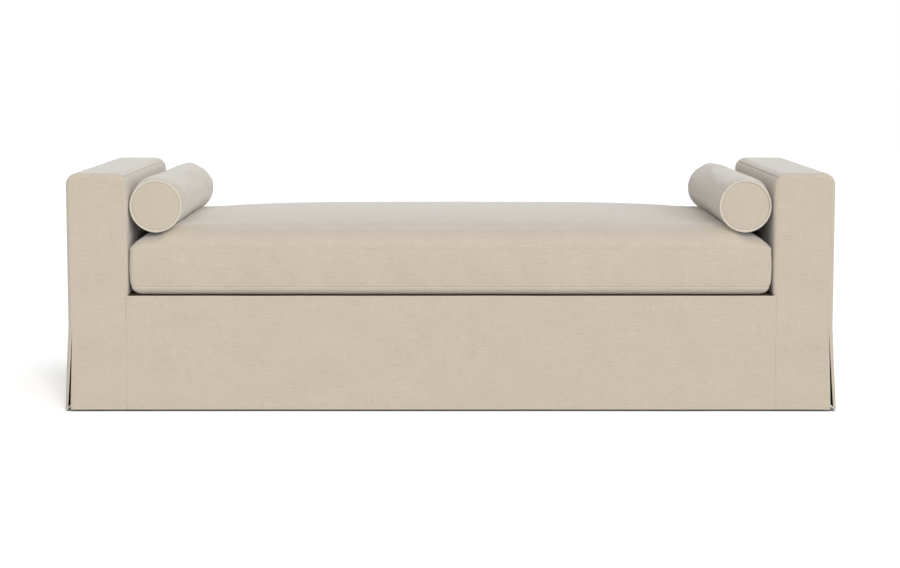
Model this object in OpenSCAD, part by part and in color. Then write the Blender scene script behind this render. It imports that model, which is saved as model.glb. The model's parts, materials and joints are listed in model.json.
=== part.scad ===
// Backless divan with a skirted linen cover: a timber base and two box arms on six
// hidden feet, a sprung deck, one loose crowned seat cushion and two loose bolsters.
// Millimetres. The origin is on the floor under the middle. +X runs along the seat,
// the front faces -Y and +Z is up. Left is -X.

/* [Overall] */
// Width over both arms
overall_w = 2134; // [1900:1:2400]
// Depth from front cover to back cover
overall_d = 864; // [780:1:960]
// Height of the arms
overall_h = 666; // [630:1:760]
// Height of the deck that the seat cushion lies on
deck_z = 330; // [315:1:350]
// Air between the hem of the skirt and the floor
hem_gap = 3; // [1:0.5:6]

/* [Arms] */
// Width of an arm over its cover
arm_w = 170; // [150:1:220]
// Rounding along both top edges of an arm
arm_edge_r = 32; // [22:1:36]
// How far the outer cover turns onto the front of the arm
outer_turn_w = 12; // [8:1:20]
// How far the inner cover turns onto the front of the arm
inner_turn_w = 8; // [5:1:14]

/* [Skirt] */
// Height of the slit at each corner
slit_h = 242; // [200:1:280]
// How far the side skirt stands out at the hem
skirt_flare = 12; // [6:1:16]
// How far the front panel spreads at the hem beside the slit
panel_flare = 8; // [4:1:10]
// Width of the slit at the hem
slit_open = 8; // [4:1:10]

/* [Seat cushion] */
// Air between the cushion and each arm
seat_side_gap = 2.5; // [1.5:0.1:5]
// How far the back of the cushion stays inside the back cover
seat_back_gap = 9; // [8:0.5:14]
// Height of the bottom seam over the underside of the cushion
bottom_seam_h = 21; // [14:1:28]
// Height of the boxing between the two seams
boxing_h = 102; // [90:1:115]
// How far the boxing swells out past the seams
boxing_bulge = 2; // [1:0.5:3]
// Rise of the top panel in its rounded edge
crown_edge_h = 60; // [50:1:66]
// Further rise of the top panel to the middle of the crown
crown_dome_h = 40; // [30:1:50]
// Width of the rounded edge of the top panel
crown_edge_run = 45; // [36:1:54]
// Width of the rounded edge of the bottom panel
bottom_edge_run = 18; // [12:1:24]
// Corner rounding of the cushion in plan
seat_corner_r = 30; // [20:1:40]
// Thickness of the foam core
core_t = 125; // [110:1:132]
// Fibre wrap round the sides and under the foam core
wrap_t = 14; // [10:1:20]

/* [Bolsters] */
// Radius of a bolster over its piping
bolster_r = 73; // [66:0.5:76]
// Distance from each end of a bolster to the end of the cushion under it
bolster_inset = 15.5; // [12:0.5:60]
// Air between a bolster and the arm
bolster_arm_gap = 4.5; // [2:0.1:8]
// Height of the bolster's axis over the top of the crown
bolster_rise = 20; // [16:0.5:26]
// Radius of the piping cord
piping_r = 3; // [2:0.1:4]
// Rounding of the bolster's end under the piping
bolster_corner_r = 8; // [7:0.5:12]
// Swell of the end panels
end_dome_h = 4; // [2:0.5:6]

/* [Frame timber] */
// Height of the underside of the frame over the floor
frame_z = 128; // [110:1:140]
// Thickness of rails, posts and blocks
timber_t = 25; // [20:1:28]
// Thickness of the bottom rail of an arm and of the centre cross rail
heavy_t = 38; // [32:1:45]
// Width of the centre cross rail
centre_rail_w = 89; // [80:1:110]
// Height of the two lighter cross rails
cross_rail_h = 70; // [50:1:90]
// Distance of the lighter cross rails from the middle
cross_rail_x = 450; // [350:1:560]
// Height of the rail inside each arm that bolts to the base
liner_h = 100; // [86:1:110]
// Thickness of the board on top of the arm frame
top_board_t = 19; // [15:1:25]
// Thickness of the boards on the arm's sides
side_board_t = 6; // [4:0.5:9]
// Leg of the corner blocks
block_leg = 90; // [60:1:120]
// Height of the corner blocks
block_h = 60; // [40:1:80]
// Side of the square feet
foot_w = 60; // [50:1:72]
// Distance from the end of the frame to the feet
foot_setback = 45; // [30:1:80]

/* [Springs] */
// Number of springs across the seat
spring_count = 12; // [8:1:16]
// Radius of the spring wire
wire_r = 2; // [1.6:0.1:2.4]
// Number of bends in one spring
bend_count = 12; // [10:2:16]
// Length of the straight bar at each end of a spring
end_bar = 18; // [16:1:24]
// Thickness of the spring clips
clip_t = 1.2; // [0.8:0.1:1.6]
// Width of a spring clip
clip_w = 14; // [10:1:20]
// Length of a clip on the rail
clip_len = 18; // [14:1:20]

/* [Padding and cover] */
// Thickness of the cover cloth with its lining
cover_t = 2; // [1.5:0.1:3]
// Foam on the inner side of an arm
inner_pad_t = 15; // [10:1:20]
// Foam on the outer side of an arm
outer_pad_t = 11; // [8:1:16]
// Foam on top of an arm
top_pad_t = 20; // [14:1:26]
// Foam on the front and back of the frame
end_pad_t = 12; // [8:1:16]
// Foam on the deck
deck_pad_t = 20; // [14:1:26]
// Cloth between the springs and the deck foam
insulator_t = 1.5; // [1:0.1:2.5]
// Width of the roll along the front and back edge of the deck
roll_w = 22; // [18:1:24]
// Rounding of that roll
roll_r = 10; // [6:1:14]
// Thickness of the dust cloth under the frame
dust_t = 1; // [0.5:0.1:2]

/* [Fastenings and glides] */
// Radius of the bolts
bolt_r = 4; // [3:0.5:5]
// Play between a bolt and the timber it passes through
bolt_play = 0.5; // [0.2:0.1:1]
// Play between a bolt and the thread it screws into
thread_play = 0.05; // [0.02:0.01:0.1]
// Distance of the outer arm bolts from the middle one
arm_bolt_pitch = 300; // [220:1:330]
// Height of the arm bolts under the top of the base rails
arm_bolt_drop = 28; // [22:1:36]
// Radius of the bolt heads and nuts over their corners
hex_r = 7.5; // [6.5:0.1:8.5]
// Height of the bolt heads and nuts
hex_h = 6; // [5:0.5:8]
// Radius of flanges under heads and nuts
flange_r = 11; // [9.5:0.5:13]
// Thickness of those flanges
flange_t = 1.6; // [1:0.1:2]
// Depth of the foot bolt in the foot
foot_bolt_depth = 45; // [30:1:60]
// Radius of the glides under the feet
glide_r = 14; // [10:1:20]
// Height of the glides
glide_h = 6; // [4:0.5:9]
// Radius of the pin of a glide
glide_pin_r = 1.5; // [1:0.1:2]
// Length of the pin of a glide
glide_pin_len = 15; // [10:1:20]

/* [Zips] */
// Distance from each end of the seat cushion to the end of its zip
seat_zip_inset = 192.5; // [100:0.5:400]
// Distance from each end of a bolster to the end of its zip
bolster_zip_inset = 100; // [80:1:160]
// Width of the zip tape
tape_w = 14; // [12:0.5:18]
// Thickness of the zip tape
tape_t = 0.6; // [0.5:0.1:0.8]
// Width of the row of teeth
teeth_w = 5; // [4:0.5:6]
// Height of the teeth over the tape
teeth_h = 1.4; // [1.2:0.1:1.6]
// Length of a zip slider
slider_len = 12; // [9:0.5:15]
// Width of a zip slider
slider_w = 9; // [8:0.5:11]
// Wall of a zip slider over the teeth
slider_wall = 1.2; // [0.8:0.1:1.4]
// Length of the pull tab of a slider
pull_len = 22; // [16:1:30]
// Width of the pull tab
pull_w = 6; // [5:0.5:8]
// Thickness of the pull tab
pull_t = 1; // [0.8:0.1:1.2]

/* [Hidden] */

// Air between soft pieces that lie on each other
soft_gap = 0.3;
// How far every cut runs past the face it opens
overrun = 1;
// Smoothness of true round shapes
round_fn = 64;

half_w = overall_w / 2;
half_d = overall_d / 2;
inner_x = half_w - arm_w;
seam_x = inner_x + inner_turn_w;
turn_x = half_w - outer_turn_w;

// Layers across an arm, from the inner cover to the outer cover
arm_pad_in_x = inner_x + cover_t;
arm_board_in_x = arm_pad_in_x + inner_pad_t;
arm_frame_in_x = arm_board_in_x + side_board_t;
arm_frame_out_x = half_w - cover_t - outer_pad_t - side_board_t;
arm_board_out_x = arm_frame_out_x + side_board_t;
arm_mid_x = (arm_frame_in_x + arm_frame_out_x) / 2;
arm_frame_w = arm_frame_out_x - arm_frame_in_x;

// Layers along the depth and the height
cover_in_y = half_d - cover_t;
frame_y = cover_in_y - end_pad_t;
frame_in_y = frame_y - timber_t;
board_top_z = overall_h - cover_t - top_pad_t;
post_top_z = board_top_z - top_board_t;
end_rail_in_x = arm_frame_in_x - timber_t;

// Springs lie in clips on top of the rails, and carry the insulator and the deck foam
wire_play = 0.15;
clip_r = wire_r + wire_play + clip_t;
deck_under_z = deck_z - cover_t;
insulator_z = deck_under_z - deck_pad_t - insulator_t;
rail_top_z = insulator_z - soft_gap - 2 * clip_r;
wire_z = rail_top_z + clip_r;
spring_end_y = frame_in_y + clip_len / 3;
bend_pitch = 2 * spring_end_y / bend_count;
spring_step = 2 * end_rail_in_x / spring_count;

// Bolts between the arms and the base
arm_bolt_z = rail_top_z - arm_bolt_drop;
liner_z = arm_bolt_z - liner_h / 3;
barrel_r = bolt_r + flange_t;
barrel_len = timber_t / 2;

// Feet
foot_y = frame_y - foot_setback - foot_w / 2;
foot_places = [
    [-arm_mid_x, -foot_y], [0, -foot_y], [arm_mid_x, -foot_y],
    [-arm_mid_x, foot_y], [0, foot_y], [arm_mid_x, foot_y]
];
foot_bolt_top = frame_z + heavy_t + flange_t + hex_h + bolt_r;

// Seat cushion: outlines of its seams, and its levels
seat_hx = inner_x - seat_side_gap - boxing_bulge;
seat_front_y = -half_d + boxing_bulge;
seat_back_y = half_d - seat_back_gap - boxing_bulge;
seat_hy = (seat_back_y - seat_front_y) / 2;
seat_y = (seat_back_y + seat_front_y) / 2;
seat_z = deck_z + soft_gap;
seam_low_z = seat_z + bottom_seam_h;
seam_top_z = seam_low_z + boxing_h;
crown_z = seam_top_z + crown_edge_h + crown_dome_h;
core_z = seat_z + cover_t + wrap_t;

// Bolsters: piping sits outside the rounded corner of the cover
bolster_len = 2 * (seat_hy - bolster_inset);
bolster_x = inner_x - bolster_arm_gap - bolster_r;
bolster_z = crown_z + bolster_rise;
piping_touch = 0.05;
piping_reach = (bolster_corner_r + piping_r + piping_touch) * sin(45);
piping_proud = piping_reach - bolster_corner_r + piping_r;
body_r = bolster_r - piping_proud;
body_half = bolster_len / 2 - piping_proud;
ring_y = body_half - bolster_corner_r + piping_reach;
press_gap = 0.9;
cradle_r = body_r + press_gap;
piping_cradle_r = bolster_r + press_gap;
// Where the cushion's trough widens for the piping, measured from the middle of its depth
piping_cradle_y = ring_y - piping_r;
body_cradle_y = piping_cradle_y - bolster_corner_r;

// Zips: the slider rides round the teeth with a small play
seat_zip_len = 2 * (seat_hx - seat_zip_inset);
bolster_zip_len = bolster_len - 2 * bolster_zip_inset;
zip_play = 0.2;
zip_seat_gap = 0.1;
slider_h = teeth_h + zip_play + slider_wall;
slot_w = teeth_w + 2 * zip_play;

// Side of the divan for a piece drawn on the right
module on_side(side) {
    if (side > 0)
        children();
    else
        mirror([1, 0, 0]) children();
}

module on_both_sides() {
    on_side(1) children();
    on_side(-1) children();
}

module front_and_back() {
    children();
    mirror([0, 1, 0]) children();
}

// Box between two corners
module block(low, high) {
    translate(low) cube(high - low);
}

// Round bar along X from x0 to x1
module bar_x(x0, x1, r) {
    translate([x0, 0, 0]) rotate([0, 90, 0]) cylinder(r = r, h = x1 - x0, $fn = round_fn);
}

// Plate drawn in XZ and laid between two depths
module xz_plate(y0, y1) {
    translate([0, y1, 0]) rotate([90, 0, 0]) linear_extrude(height = y1 - y0) children();
}

// Front view of the right arm, drawn in from its surface by inset, with the leaning skirt below
module arm_outline(inset, bottom) {
    lean = skirt_flare * (slit_h - bottom) / (slit_h - hem_gap);
    shoulder_z = overall_h - arm_edge_r;
    translate([inner_x + inset, slit_h])
        square([arm_w - 2 * inset, shoulder_z - slit_h]);
    translate([inner_x + arm_edge_r, slit_h])
        square([arm_w - 2 * arm_edge_r, overall_h - inset - slit_h]);
    for (x = [inner_x + arm_edge_r, half_w - arm_edge_r])
        translate([x, shoulder_z]) circle(r = arm_edge_r - inset, $fn = round_fn);
    polygon([
        [inner_x + inset, bottom], [half_w - inset + lean, bottom],
        [half_w - inset, slit_h], [inner_x + inset, slit_h]
    ]);
}

// Everything outside the line that the slit edge of the outer cover follows
module outside_turn() {
    hem_x = turn_x + panel_flare + slit_open;
    far_x = half_w + skirt_flare + overrun;
    polygon([
        [hem_x, hem_gap], [far_x, hem_gap], [far_x, overall_h + overrun],
        [turn_x, overall_h + overrun], [turn_x, slit_h]
    ]);
}

// Everything between the inner seam and the edge of the arm's front panel
module between_seams() {
    polygon([
        [seam_x, hem_gap], [turn_x + panel_flare, hem_gap], [turn_x, slit_h],
        [turn_x, overall_h + overrun], [seam_x, overall_h + overrun]
    ]);
}

// The cloth of the arm in front view, as a ring one cloth thick
module arm_ring() {
    difference() {
        arm_outline(0, hem_gap);
        arm_outline(cover_t, hem_gap - overrun);
    }
}

// Base frame

module long_rail() {
    block([-arm_frame_in_x, -frame_y, frame_z], [arm_frame_in_x, -frame_in_y, rail_top_z]);
}

module front_rail() {
    color("burlywood") long_rail();
}

module back_rail() {
    color("burlywood") mirror([0, 1, 0]) long_rail();
}

// Places of the arm bolts along the depth
module at_arm_bolts() {
    for (y = [-arm_bolt_pitch, 0, arm_bolt_pitch])
        translate([0, y, arm_bolt_z]) children();
}

module end_rails() {
    color("burlywood") on_both_sides() difference() {
        block([end_rail_in_x, -frame_in_y, frame_z], [arm_frame_in_x, frame_in_y, rail_top_z]);
        at_arm_bolts() bar_x(end_rail_in_x - overrun, arm_frame_in_x + overrun, bolt_r + bolt_play);
    }
}

module centre_cross_rail() {
    color("burlywood") difference() {
        block([-centre_rail_w / 2, -frame_in_y, frame_z],
              [centre_rail_w / 2, frame_in_y, frame_z + heavy_t]);
        at_feet([1, 4]) foot_bolt_hole();
    }
}

module cross_rails() {
    color("burlywood") on_both_sides()
        block([cross_rail_x - timber_t / 2, -frame_in_y, frame_z],
              [cross_rail_x + timber_t / 2, frame_in_y, frame_z + cross_rail_h]);
}

module corner_blocks() {
    color("tan") on_both_sides() front_and_back()
        translate([end_rail_in_x, -frame_in_y, frame_z + block_h / 2])
            linear_extrude(height = block_h)
                polygon([[0, 0], [0, block_leg], [-block_leg, 0]]);
}

// Feet and their fastenings

module at_feet(picks) {
    for (i = picks)
        translate([foot_places[i][0], foot_places[i][1], 0]) children();
}

// Clear hole for a foot bolt through the heavy rails
module foot_bolt_hole() {
    translate([0, 0, frame_z - overrun])
        cylinder(r = bolt_r + bolt_play, h = heavy_t + 2 * overrun, $fn = round_fn);
}

module feet() {
    color("saddlebrown") at_feet([0:5]) difference() {
        block([-foot_w / 2, -foot_w / 2, glide_h], [foot_w / 2, foot_w / 2, frame_z]);
        translate([0, 0, frame_z - foot_bolt_depth - overrun])
            cylinder(r = bolt_r + thread_play, h = foot_bolt_depth + 2 * overrun, $fn = round_fn);
        translate([0, 0, glide_h - overrun])
            cylinder(r = glide_pin_r + thread_play, h = glide_pin_len + 2 * overrun, $fn = round_fn);
    }
}

module foot_glides() {
    color("dimgray") at_feet([0:5]) {
        cylinder(r = glide_r, h = glide_h, $fn = round_fn);
        cylinder(r = glide_pin_r, h = glide_h + glide_pin_len, $fn = round_fn);
    }
}

module foot_bolts() {
    color("silver") at_feet([0:5])
        translate([0, 0, frame_z - foot_bolt_depth])
            cylinder(r = bolt_r, h = foot_bolt_top - frame_z + foot_bolt_depth, $fn = round_fn);
}

module foot_nuts() {
    color("gray") at_feet([0:5])
        translate([0, 0, frame_z + heavy_t]) difference() {
            union() {
                cylinder(r = flange_r, h = flange_t, $fn = round_fn);
                cylinder(r = hex_r, h = flange_t + hex_h, $fn = 6);
            }
            translate([0, 0, -overrun])
                cylinder(r = bolt_r + thread_play, h = flange_t + hex_h + 2 * overrun, $fn = round_fn);
        }
}

// Arm frames

module arm_posts(side) {
    color("burlywood") on_side(side) front_and_back()
        block([arm_frame_in_x, -frame_y, frame_z], [arm_frame_out_x, -frame_in_y, post_top_z]);
}

module arm_top_board(side) {
    color("wheat") on_side(side)
        block([arm_frame_in_x, -frame_y, post_top_z], [arm_frame_out_x, frame_y, board_top_z]);
}

module arm_bottom_rail(side) {
    picks = side > 0 ? [2, 5] : [0, 3];
    color("burlywood") difference() {
        on_side(side)
            block([arm_frame_in_x, -frame_in_y, frame_z],
                  [arm_frame_out_x, frame_in_y, frame_z + heavy_t]);
        at_feet(picks) foot_bolt_hole();
    }
}

module liner_rails() {
    color("burlywood") on_both_sides() difference() {
        block([arm_frame_in_x, -frame_in_y, liner_z],
              [arm_frame_in_x + timber_t, frame_in_y, liner_z + liner_h]);
        at_arm_bolts() {
            bar_x(arm_frame_in_x - overrun, arm_frame_in_x + timber_t, bolt_r + bolt_play);
            bar_x(arm_frame_in_x + timber_t - barrel_len, arm_frame_in_x + timber_t + overrun,
                  barrel_r + thread_play);
        }
    }
}

module arm_inner_board(side) {
    color("peru") on_side(side)
        block([arm_board_in_x, -frame_y, rail_top_z + side_board_t],
              [arm_frame_in_x, frame_y, board_top_z]);
}

module arm_outer_board(side) {
    color("peru") on_side(side)
        block([arm_frame_out_x, -frame_y, frame_z], [arm_board_out_x, frame_y, board_top_z]);
}

// Flanged bolts from the base side, in T-nuts inside the arm
module arm_bolts() {
    tip_x = arm_frame_in_x + timber_t + bolt_r;
    color("silver") on_both_sides() at_arm_bolts() {
        bar_x(end_rail_in_x - flange_t, tip_x, bolt_r);
        bar_x(end_rail_in_x - flange_t, end_rail_in_x, flange_r);
        translate([end_rail_in_x - flange_t - hex_h, 0, 0]) rotate([0, 90, 0])
            cylinder(r = hex_r, h = hex_h, $fn = 6);
    }
}

module arm_t_nuts() {
    face_x = arm_frame_in_x + timber_t;
    color("gray") on_both_sides() at_arm_bolts() difference() {
        union() {
            bar_x(face_x, face_x + flange_t, flange_r);
            bar_x(face_x - barrel_len, face_x, barrel_r);
        }
        bar_x(face_x - barrel_len - overrun, face_x + flange_t + overrun, bolt_r + thread_play);
    }
}

// Springs and deck

// One wire: half-round bends on alternate sides, with a straight bar at each end
module spring() {
    for (i = [0:bend_count - 1])
        translate([0, -spring_end_y + (i + 0.5) * bend_pitch, 0])
            rotate([0, 0, i % 2 == 0 ? -90 : 90])
                rotate_extrude(angle = 180, $fn = round_fn)
                    translate([bend_pitch / 2, 0]) circle(r = wire_r, $fn = round_fn);
    at_spring_ends() bar_x(-end_bar, 0, wire_r);
}

// Both ends of a spring, with its end bar running to -X
module at_spring_ends() {
    for (turn = [0, 180])
        rotate([0, 0, turn]) translate([0, -spring_end_y, 0]) children();
}

module at_springs() {
    for (i = [0:spring_count - 1])
        translate([(i - (spring_count - 1) / 2) * spring_step, 0, wire_z]) children();
}

module sinuous_springs() {
    color("slategray") at_springs() spring();
}

// Each clip is a plate on the rail with a loop closed over the end bar of a spring
module spring_clips() {
    clip_x = -(end_bar + clip_w) / 2;
    color("silver") at_springs() at_spring_ends() translate([clip_x, 0, 0]) difference() {
        union() {
            bar_x(0, clip_w, clip_r);
            block([0, -clip_len / 2, -clip_r], [clip_w, 0, clip_t - clip_r]);
        }
        bar_x(-overrun, clip_w + overrun, wire_r + wire_play);
    }
}

module spring_insulator() {
    y = cover_in_y - roll_w;
    color("darkkhaki")
        block([-inner_x, -y, insulator_z], [inner_x, y, insulator_z + insulator_t]);
}

module deck_pad() {
    y = cover_in_y - roll_w;
    color("palegoldenrod")
        block([-inner_x, -y, deck_under_z - deck_pad_t], [inner_x, y, deck_under_z]);
}

module edge_rolls() {
    color("khaki") front_and_back() translate([-inner_x, 0, 0]) rotate([90, 0, 90])
        linear_extrude(height = 2 * inner_x) {
            translate([-cover_in_y, rail_top_z]) square([roll_w, deck_under_z - roll_r - rail_top_z]);
            translate([roll_r - cover_in_y, rail_top_z])
                square([roll_w - roll_r, deck_under_z - rail_top_z]);
            translate([roll_r - cover_in_y, deck_under_z - roll_r])
                circle(r = roll_r, $fn = round_fn);
        }
}

module rail_pads() {
    color("khaki") front_and_back()
        block([-arm_pad_in_x, -cover_in_y, slit_h], [arm_pad_in_x, -frame_y, rail_top_z]);
}

module dust_cover() {
    hole = foot_w / 2 + overrun;
    color("black") difference() {
        block([-arm_frame_out_x, -frame_y, frame_z - dust_t], [arm_frame_out_x, frame_y, frame_z]);
        at_feet([0:5])
            block([-hole, -hole, frame_z - dust_t - overrun], [hole, hole, frame_z + overrun]);
    }
}

// Arm padding and cover

// One foam sheet up the outside, over the top and down the inside of the arm frame
module arm_pad(side) {
    inner_bottom = rail_top_z + side_board_t;
    color("khaki") on_side(side) xz_plate(-frame_y, frame_y) difference() {
        arm_outline(cover_t, slit_h - overrun);
        translate([arm_board_in_x, 0]) square([arm_board_out_x - arm_board_in_x, board_top_z]);
        translate([inner_x, 0]) square([arm_board_in_x - inner_x, inner_bottom]);
        translate([inner_x, 0]) square([arm_w + skirt_flare, slit_h]);
    }
}

module arm_end_pads() {
    color("khaki") on_both_sides() front_and_back() xz_plate(-cover_in_y, -frame_y) difference() {
        arm_outline(cover_t, slit_h - overrun);
        translate([inner_x, 0]) square([arm_w + skirt_flare, slit_h]);
    }
}

// Outside and top of the arm, with the leaning skirt and the turned front and back edges
module arm_outer_cover(side) {
    color("antiquewhite") on_side(side) {
        xz_plate(-cover_in_y, cover_in_y) intersection() {
            arm_ring();
            translate([seam_x, 0]) square([arm_w + skirt_flare, overall_h + overrun]);
        }
        front_and_back() xz_plate(-half_d, -cover_in_y) intersection() {
            arm_outline(0, hem_gap);
            outside_turn();
        }
    }
}

// Inside of the arm, tucked down beside the deck
module arm_inner_cover(side) {
    tuck_z = rail_top_z + side_board_t;
    color("linen") on_side(side) {
        xz_plate(-cover_in_y, cover_in_y) intersection() {
            arm_ring();
            translate([inner_x, tuck_z]) square([inner_turn_w, overall_h - tuck_z]);
        }
        front_and_back() xz_plate(-half_d, -cover_in_y) intersection() {
            arm_outline(0, hem_gap);
            translate([inner_x, deck_z]) square([inner_turn_w, overall_h - deck_z]);
        }
    }
}

module arm_end_panel() {
    xz_plate(-half_d, -cover_in_y) intersection() {
        arm_outline(0, hem_gap);
        between_seams();
    }
}

module arm_front_panel(side) {
    color("antiquewhite") on_side(side) arm_end_panel();
}

module arm_back_panel(side) {
    color("antiquewhite") on_side(side) mirror([0, 1, 0]) arm_end_panel();
}

module skirt_panel() {
    block([-seam_x, -half_d, hem_gap], [seam_x, -cover_in_y, deck_z]);
}

module front_skirt_panel() {
    color("bisque") skirt_panel();
}

module back_skirt_panel() {
    color("bisque") mirror([0, 1, 0]) skirt_panel();
}

module deck_cover() {
    color("bisque")
        block([-inner_x, -cover_in_y, deck_under_z], [inner_x, cover_in_y, deck_z]);
}

// Seat cushion

// Steps of the grid over one half: flat part, cradle of the bolster, rounded edge
flat_steps = 3;
cradle_steps = 6;
edge_steps = 3;
depth_steps = 2;
// How fast the crown falls off along the seat and across it
along_power = 3;
across_power = 2.2;

function rise(d) = sqrt(1 - pow(1 - min(max(d, 0) / crown_edge_run, 1), 2));

// Half of a row of grid places, from the middle to a half size h
function edge_places(h) =
    [for (i = [0:edge_steps]) h - crown_edge_run * (1 - sin(90 * i / edge_steps))];
function half_x(h) = concat(
    [for (i = [0:flat_steps - 1]) (bolster_x - cradle_r) * i / flat_steps],
    [for (i = [0:cradle_steps - 1])
        (bolster_x - cradle_r)
        + (h - crown_edge_run - bolster_x + cradle_r) * i / cradle_steps],
    edge_places(h));
function half_y(h) = concat(
    [for (i = [0:depth_steps]) body_cradle_y * i / depth_steps],
    [piping_cradle_y],
    [for (y = edge_places(h)) if (y > piping_cradle_y + piping_r) y]);
function both_ways(half) = concat(
    [for (i = [len(half) - 1:-1:1]) -half[i]], half);

// Plan place of a grid place, with the corners rounded
function plan(x, y, hx, hy) =
    let (a = (abs(x) - hx + seat_corner_r) / seat_corner_r,
         b = (abs(y) - hy + seat_corner_r) / seat_corner_r)
    a <= 0 || b <= 0 ? [x, y] : [
        sign(x) * (hx - seat_corner_r * (1 - a * sqrt(1 - b * b / 2))),
        sign(y) * (hy - seat_corner_r * (1 - b * sqrt(1 - a * a / 2)))];

// Height of the free crown, and of the trough under a bolster
function crown(x, y, hx, hy, inset) =
    seam_top_z - inset
    + crown_edge_h * rise(hx - abs(x)) * rise(hy - abs(y))
    + crown_dome_h * (1 - pow(abs(x) / hx, along_power)) * (1 - pow(abs(y) / hy, across_power));
function trough(x, y, inset) =
    let (r = (abs(y) > body_cradle_y ? piping_cradle_r : cradle_r) + inset,
         d = abs(x) - bolster_x)
    abs(d) < r ? bolster_z - sqrt(r * r - d * d) : bolster_z;

// Closed cushion: top grid, swelled boxing, rounded bottom edge and flat bottom
module cushion_form(inset) {
    hx = seat_hx - inset;
    hy = seat_hy - inset;
    xs = both_ways(half_x(hx));
    ys = both_ways(half_y(hy));
    nx = len(xs);
    ny = len(ys);
    top = [for (y = ys) for (x = xs)
        concat(plan(x, y, hx, hy), [min(crown(x, y, hx, hy, inset), trough(x, y, inset))])];
    // Places round the rim, anticlockwise from above
    rim = concat(
        [for (i = [0:nx - 2]) i],
        [for (j = [0:ny - 2]) j * nx + nx - 1],
        [for (i = [nx - 1:-1:1]) (ny - 1) * nx + i],
        [for (j = [ny - 1:-1:1]) j * nx]);
    n = len(rim);
    quarter_h = boxing_h / 4;
    round_h = bottom_seam_h - inset;
    // Each lower ring: how far it stands out from the seam, and its height
    rings = [
        [boxing_bulge, seam_top_z - quarter_h], [boxing_bulge, seam_low_z + quarter_h],
        [0, seam_low_z],
        [-bottom_edge_run * (1 - cos(45)), seam_low_z - round_h * sin(45)],
        [-bottom_edge_run, seam_low_z - round_h]
    ];
    lower = [for (ring = rings) for (k = rim)
        let (i = k % nx, j = floor(k / nx),
             sx = (hx + ring[0]) / hx, sy = (hy + ring[0]) / hy,
             p = plan(xs[i], ys[j], hx, hy))
        [p[0] * sx, p[1] * sy, ring[1]]];
    points = concat(top, lower);
    first = nx * ny;
    loops = concat([rim], [for (r = [0:len(rings) - 1]) [for (k = [0:n - 1]) first + r * n + k]]);
    top_faces = [for (j = [0:ny - 2]) for (i = [0:nx - 2])
        let (a = j * nx + i, b = a + 1, c = b + nx, d = a + nx)
        each [[a, d, c], [a, c, b]]];
    side_faces = [for (r = [0:len(rings) - 1]) for (k = [0:n - 1])
        let (m = (k + 1) % n, u = loops[r], l = loops[r + 1])
        each [[u[k], u[m], l[m]], [u[k], l[m], l[k]]]];
    translate([0, seat_y, 0])
        polyhedron(points, concat(top_faces, side_faces, [loops[len(rings)]]), convexity = 4);
}

module seat_cover() {
    color("antiquewhite") difference() {
        cushion_form(0);
        cushion_form(cover_t);
    }
}

// The foam core is a plain block
module core_block() {
    x = seat_hx - cover_t - wrap_t;
    y = seat_hy - cover_t - wrap_t;
    translate([0, seat_y, 0]) block([-x, -y, core_z], [x, y, core_z + core_t]);
}

module seat_wrap() {
    color("white") difference() {
        cushion_form(cover_t + soft_gap);
        core_block();
    }
}

module seat_foam_core() {
    color("lemonchiffon") core_block();
}

// Zips, drawn flat on z = 0 with the teeth up and the run along X

module zip_chain(length) {
    block([-length / 2, -tape_w / 2, 0], [length / 2, tape_w / 2, tape_t]);
    block([-length / 2, -teeth_w / 2, 0], [length / 2, teeth_w / 2, tape_t + teeth_h]);
}

// The slider stands at the +X end of its zip, with its pull tab lying back over the teeth
module zip_slider(length) {
    low = tape_t + zip_play;
    high = tape_t + slider_h;
    x1 = length / 2 - slider_wall;
    x0 = x1 - slider_len;
    difference() {
        block([x0, -slider_w / 2, low], [x1, slider_w / 2, high]);
        block([x0 - overrun, -slot_w / 2, low - overrun],
              [x1 + overrun, slot_w / 2, tape_t + teeth_h + zip_play]);
    }
    block([x0 + slider_len / 2 - pull_len, -pull_w / 2, high],
          [x0 + slider_len / 2, pull_w / 2, high + pull_t]);
}

// The seat zip runs along the back boxing
module on_seat_back() {
    translate([0, seat_back_y + boxing_bulge + zip_seat_gap, (seam_low_z + seam_top_z) / 2])
        rotate([-90, 0, 0]) children();
}

module seat_zip_chain() {
    color("tan") on_seat_back() zip_chain(seat_zip_len);
}

module seat_zip_slider() {
    color("goldenrod") on_seat_back() zip_slider(seat_zip_len);
}

// Bolsters, drawn round the Z axis and laid along Y

module on_bolster(side) {
    on_side(side) translate([bolster_x, seat_y, bolster_z]) rotate([-90, 0, 0]) children();
}

// Half outline of a bolster drawn in by inset: domed end, rounded corner, straight side
dome_steps = 6;
corner_steps = 6;
function bolster_end(inset) =
    let (flat_r = body_r - bolster_corner_r, c = bolster_corner_r - inset)
    concat(
        [for (i = [0:dome_steps - 1])
            let (s = i / dome_steps)
            [flat_r * s, body_half - inset + end_dome_h * (1 - s * s)]],
        [for (i = [0:corner_steps])
            let (a = 90 * i / corner_steps)
            [flat_r + c * sin(a), body_half - bolster_corner_r + c * cos(a)]]);

module bolster_form(inset) {
    end = bolster_end(inset);
    n = len(end);
    rotate_extrude($fn = round_fn)
        polygon(concat(end, [for (i = [n - 1:-1:0]) [end[i][0], -end[i][1]]]));
}

module bolster_cover(side) {
    color("antiquewhite") on_bolster(side) difference() {
        bolster_form(0);
        bolster_form(cover_t);
    }
}

module bolster_core(side) {
    color("white") on_bolster(side) bolster_form(cover_t + soft_gap);
}

module bolster_piping(side) {
    ring_r = bolster_r - piping_r;
    color("linen") on_bolster(side)
        for (z = [-ring_y, ring_y])
            translate([0, 0, z]) rotate_extrude($fn = round_fn)
                translate([ring_r, 0]) circle(r = piping_r, $fn = round_fn);
}

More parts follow.
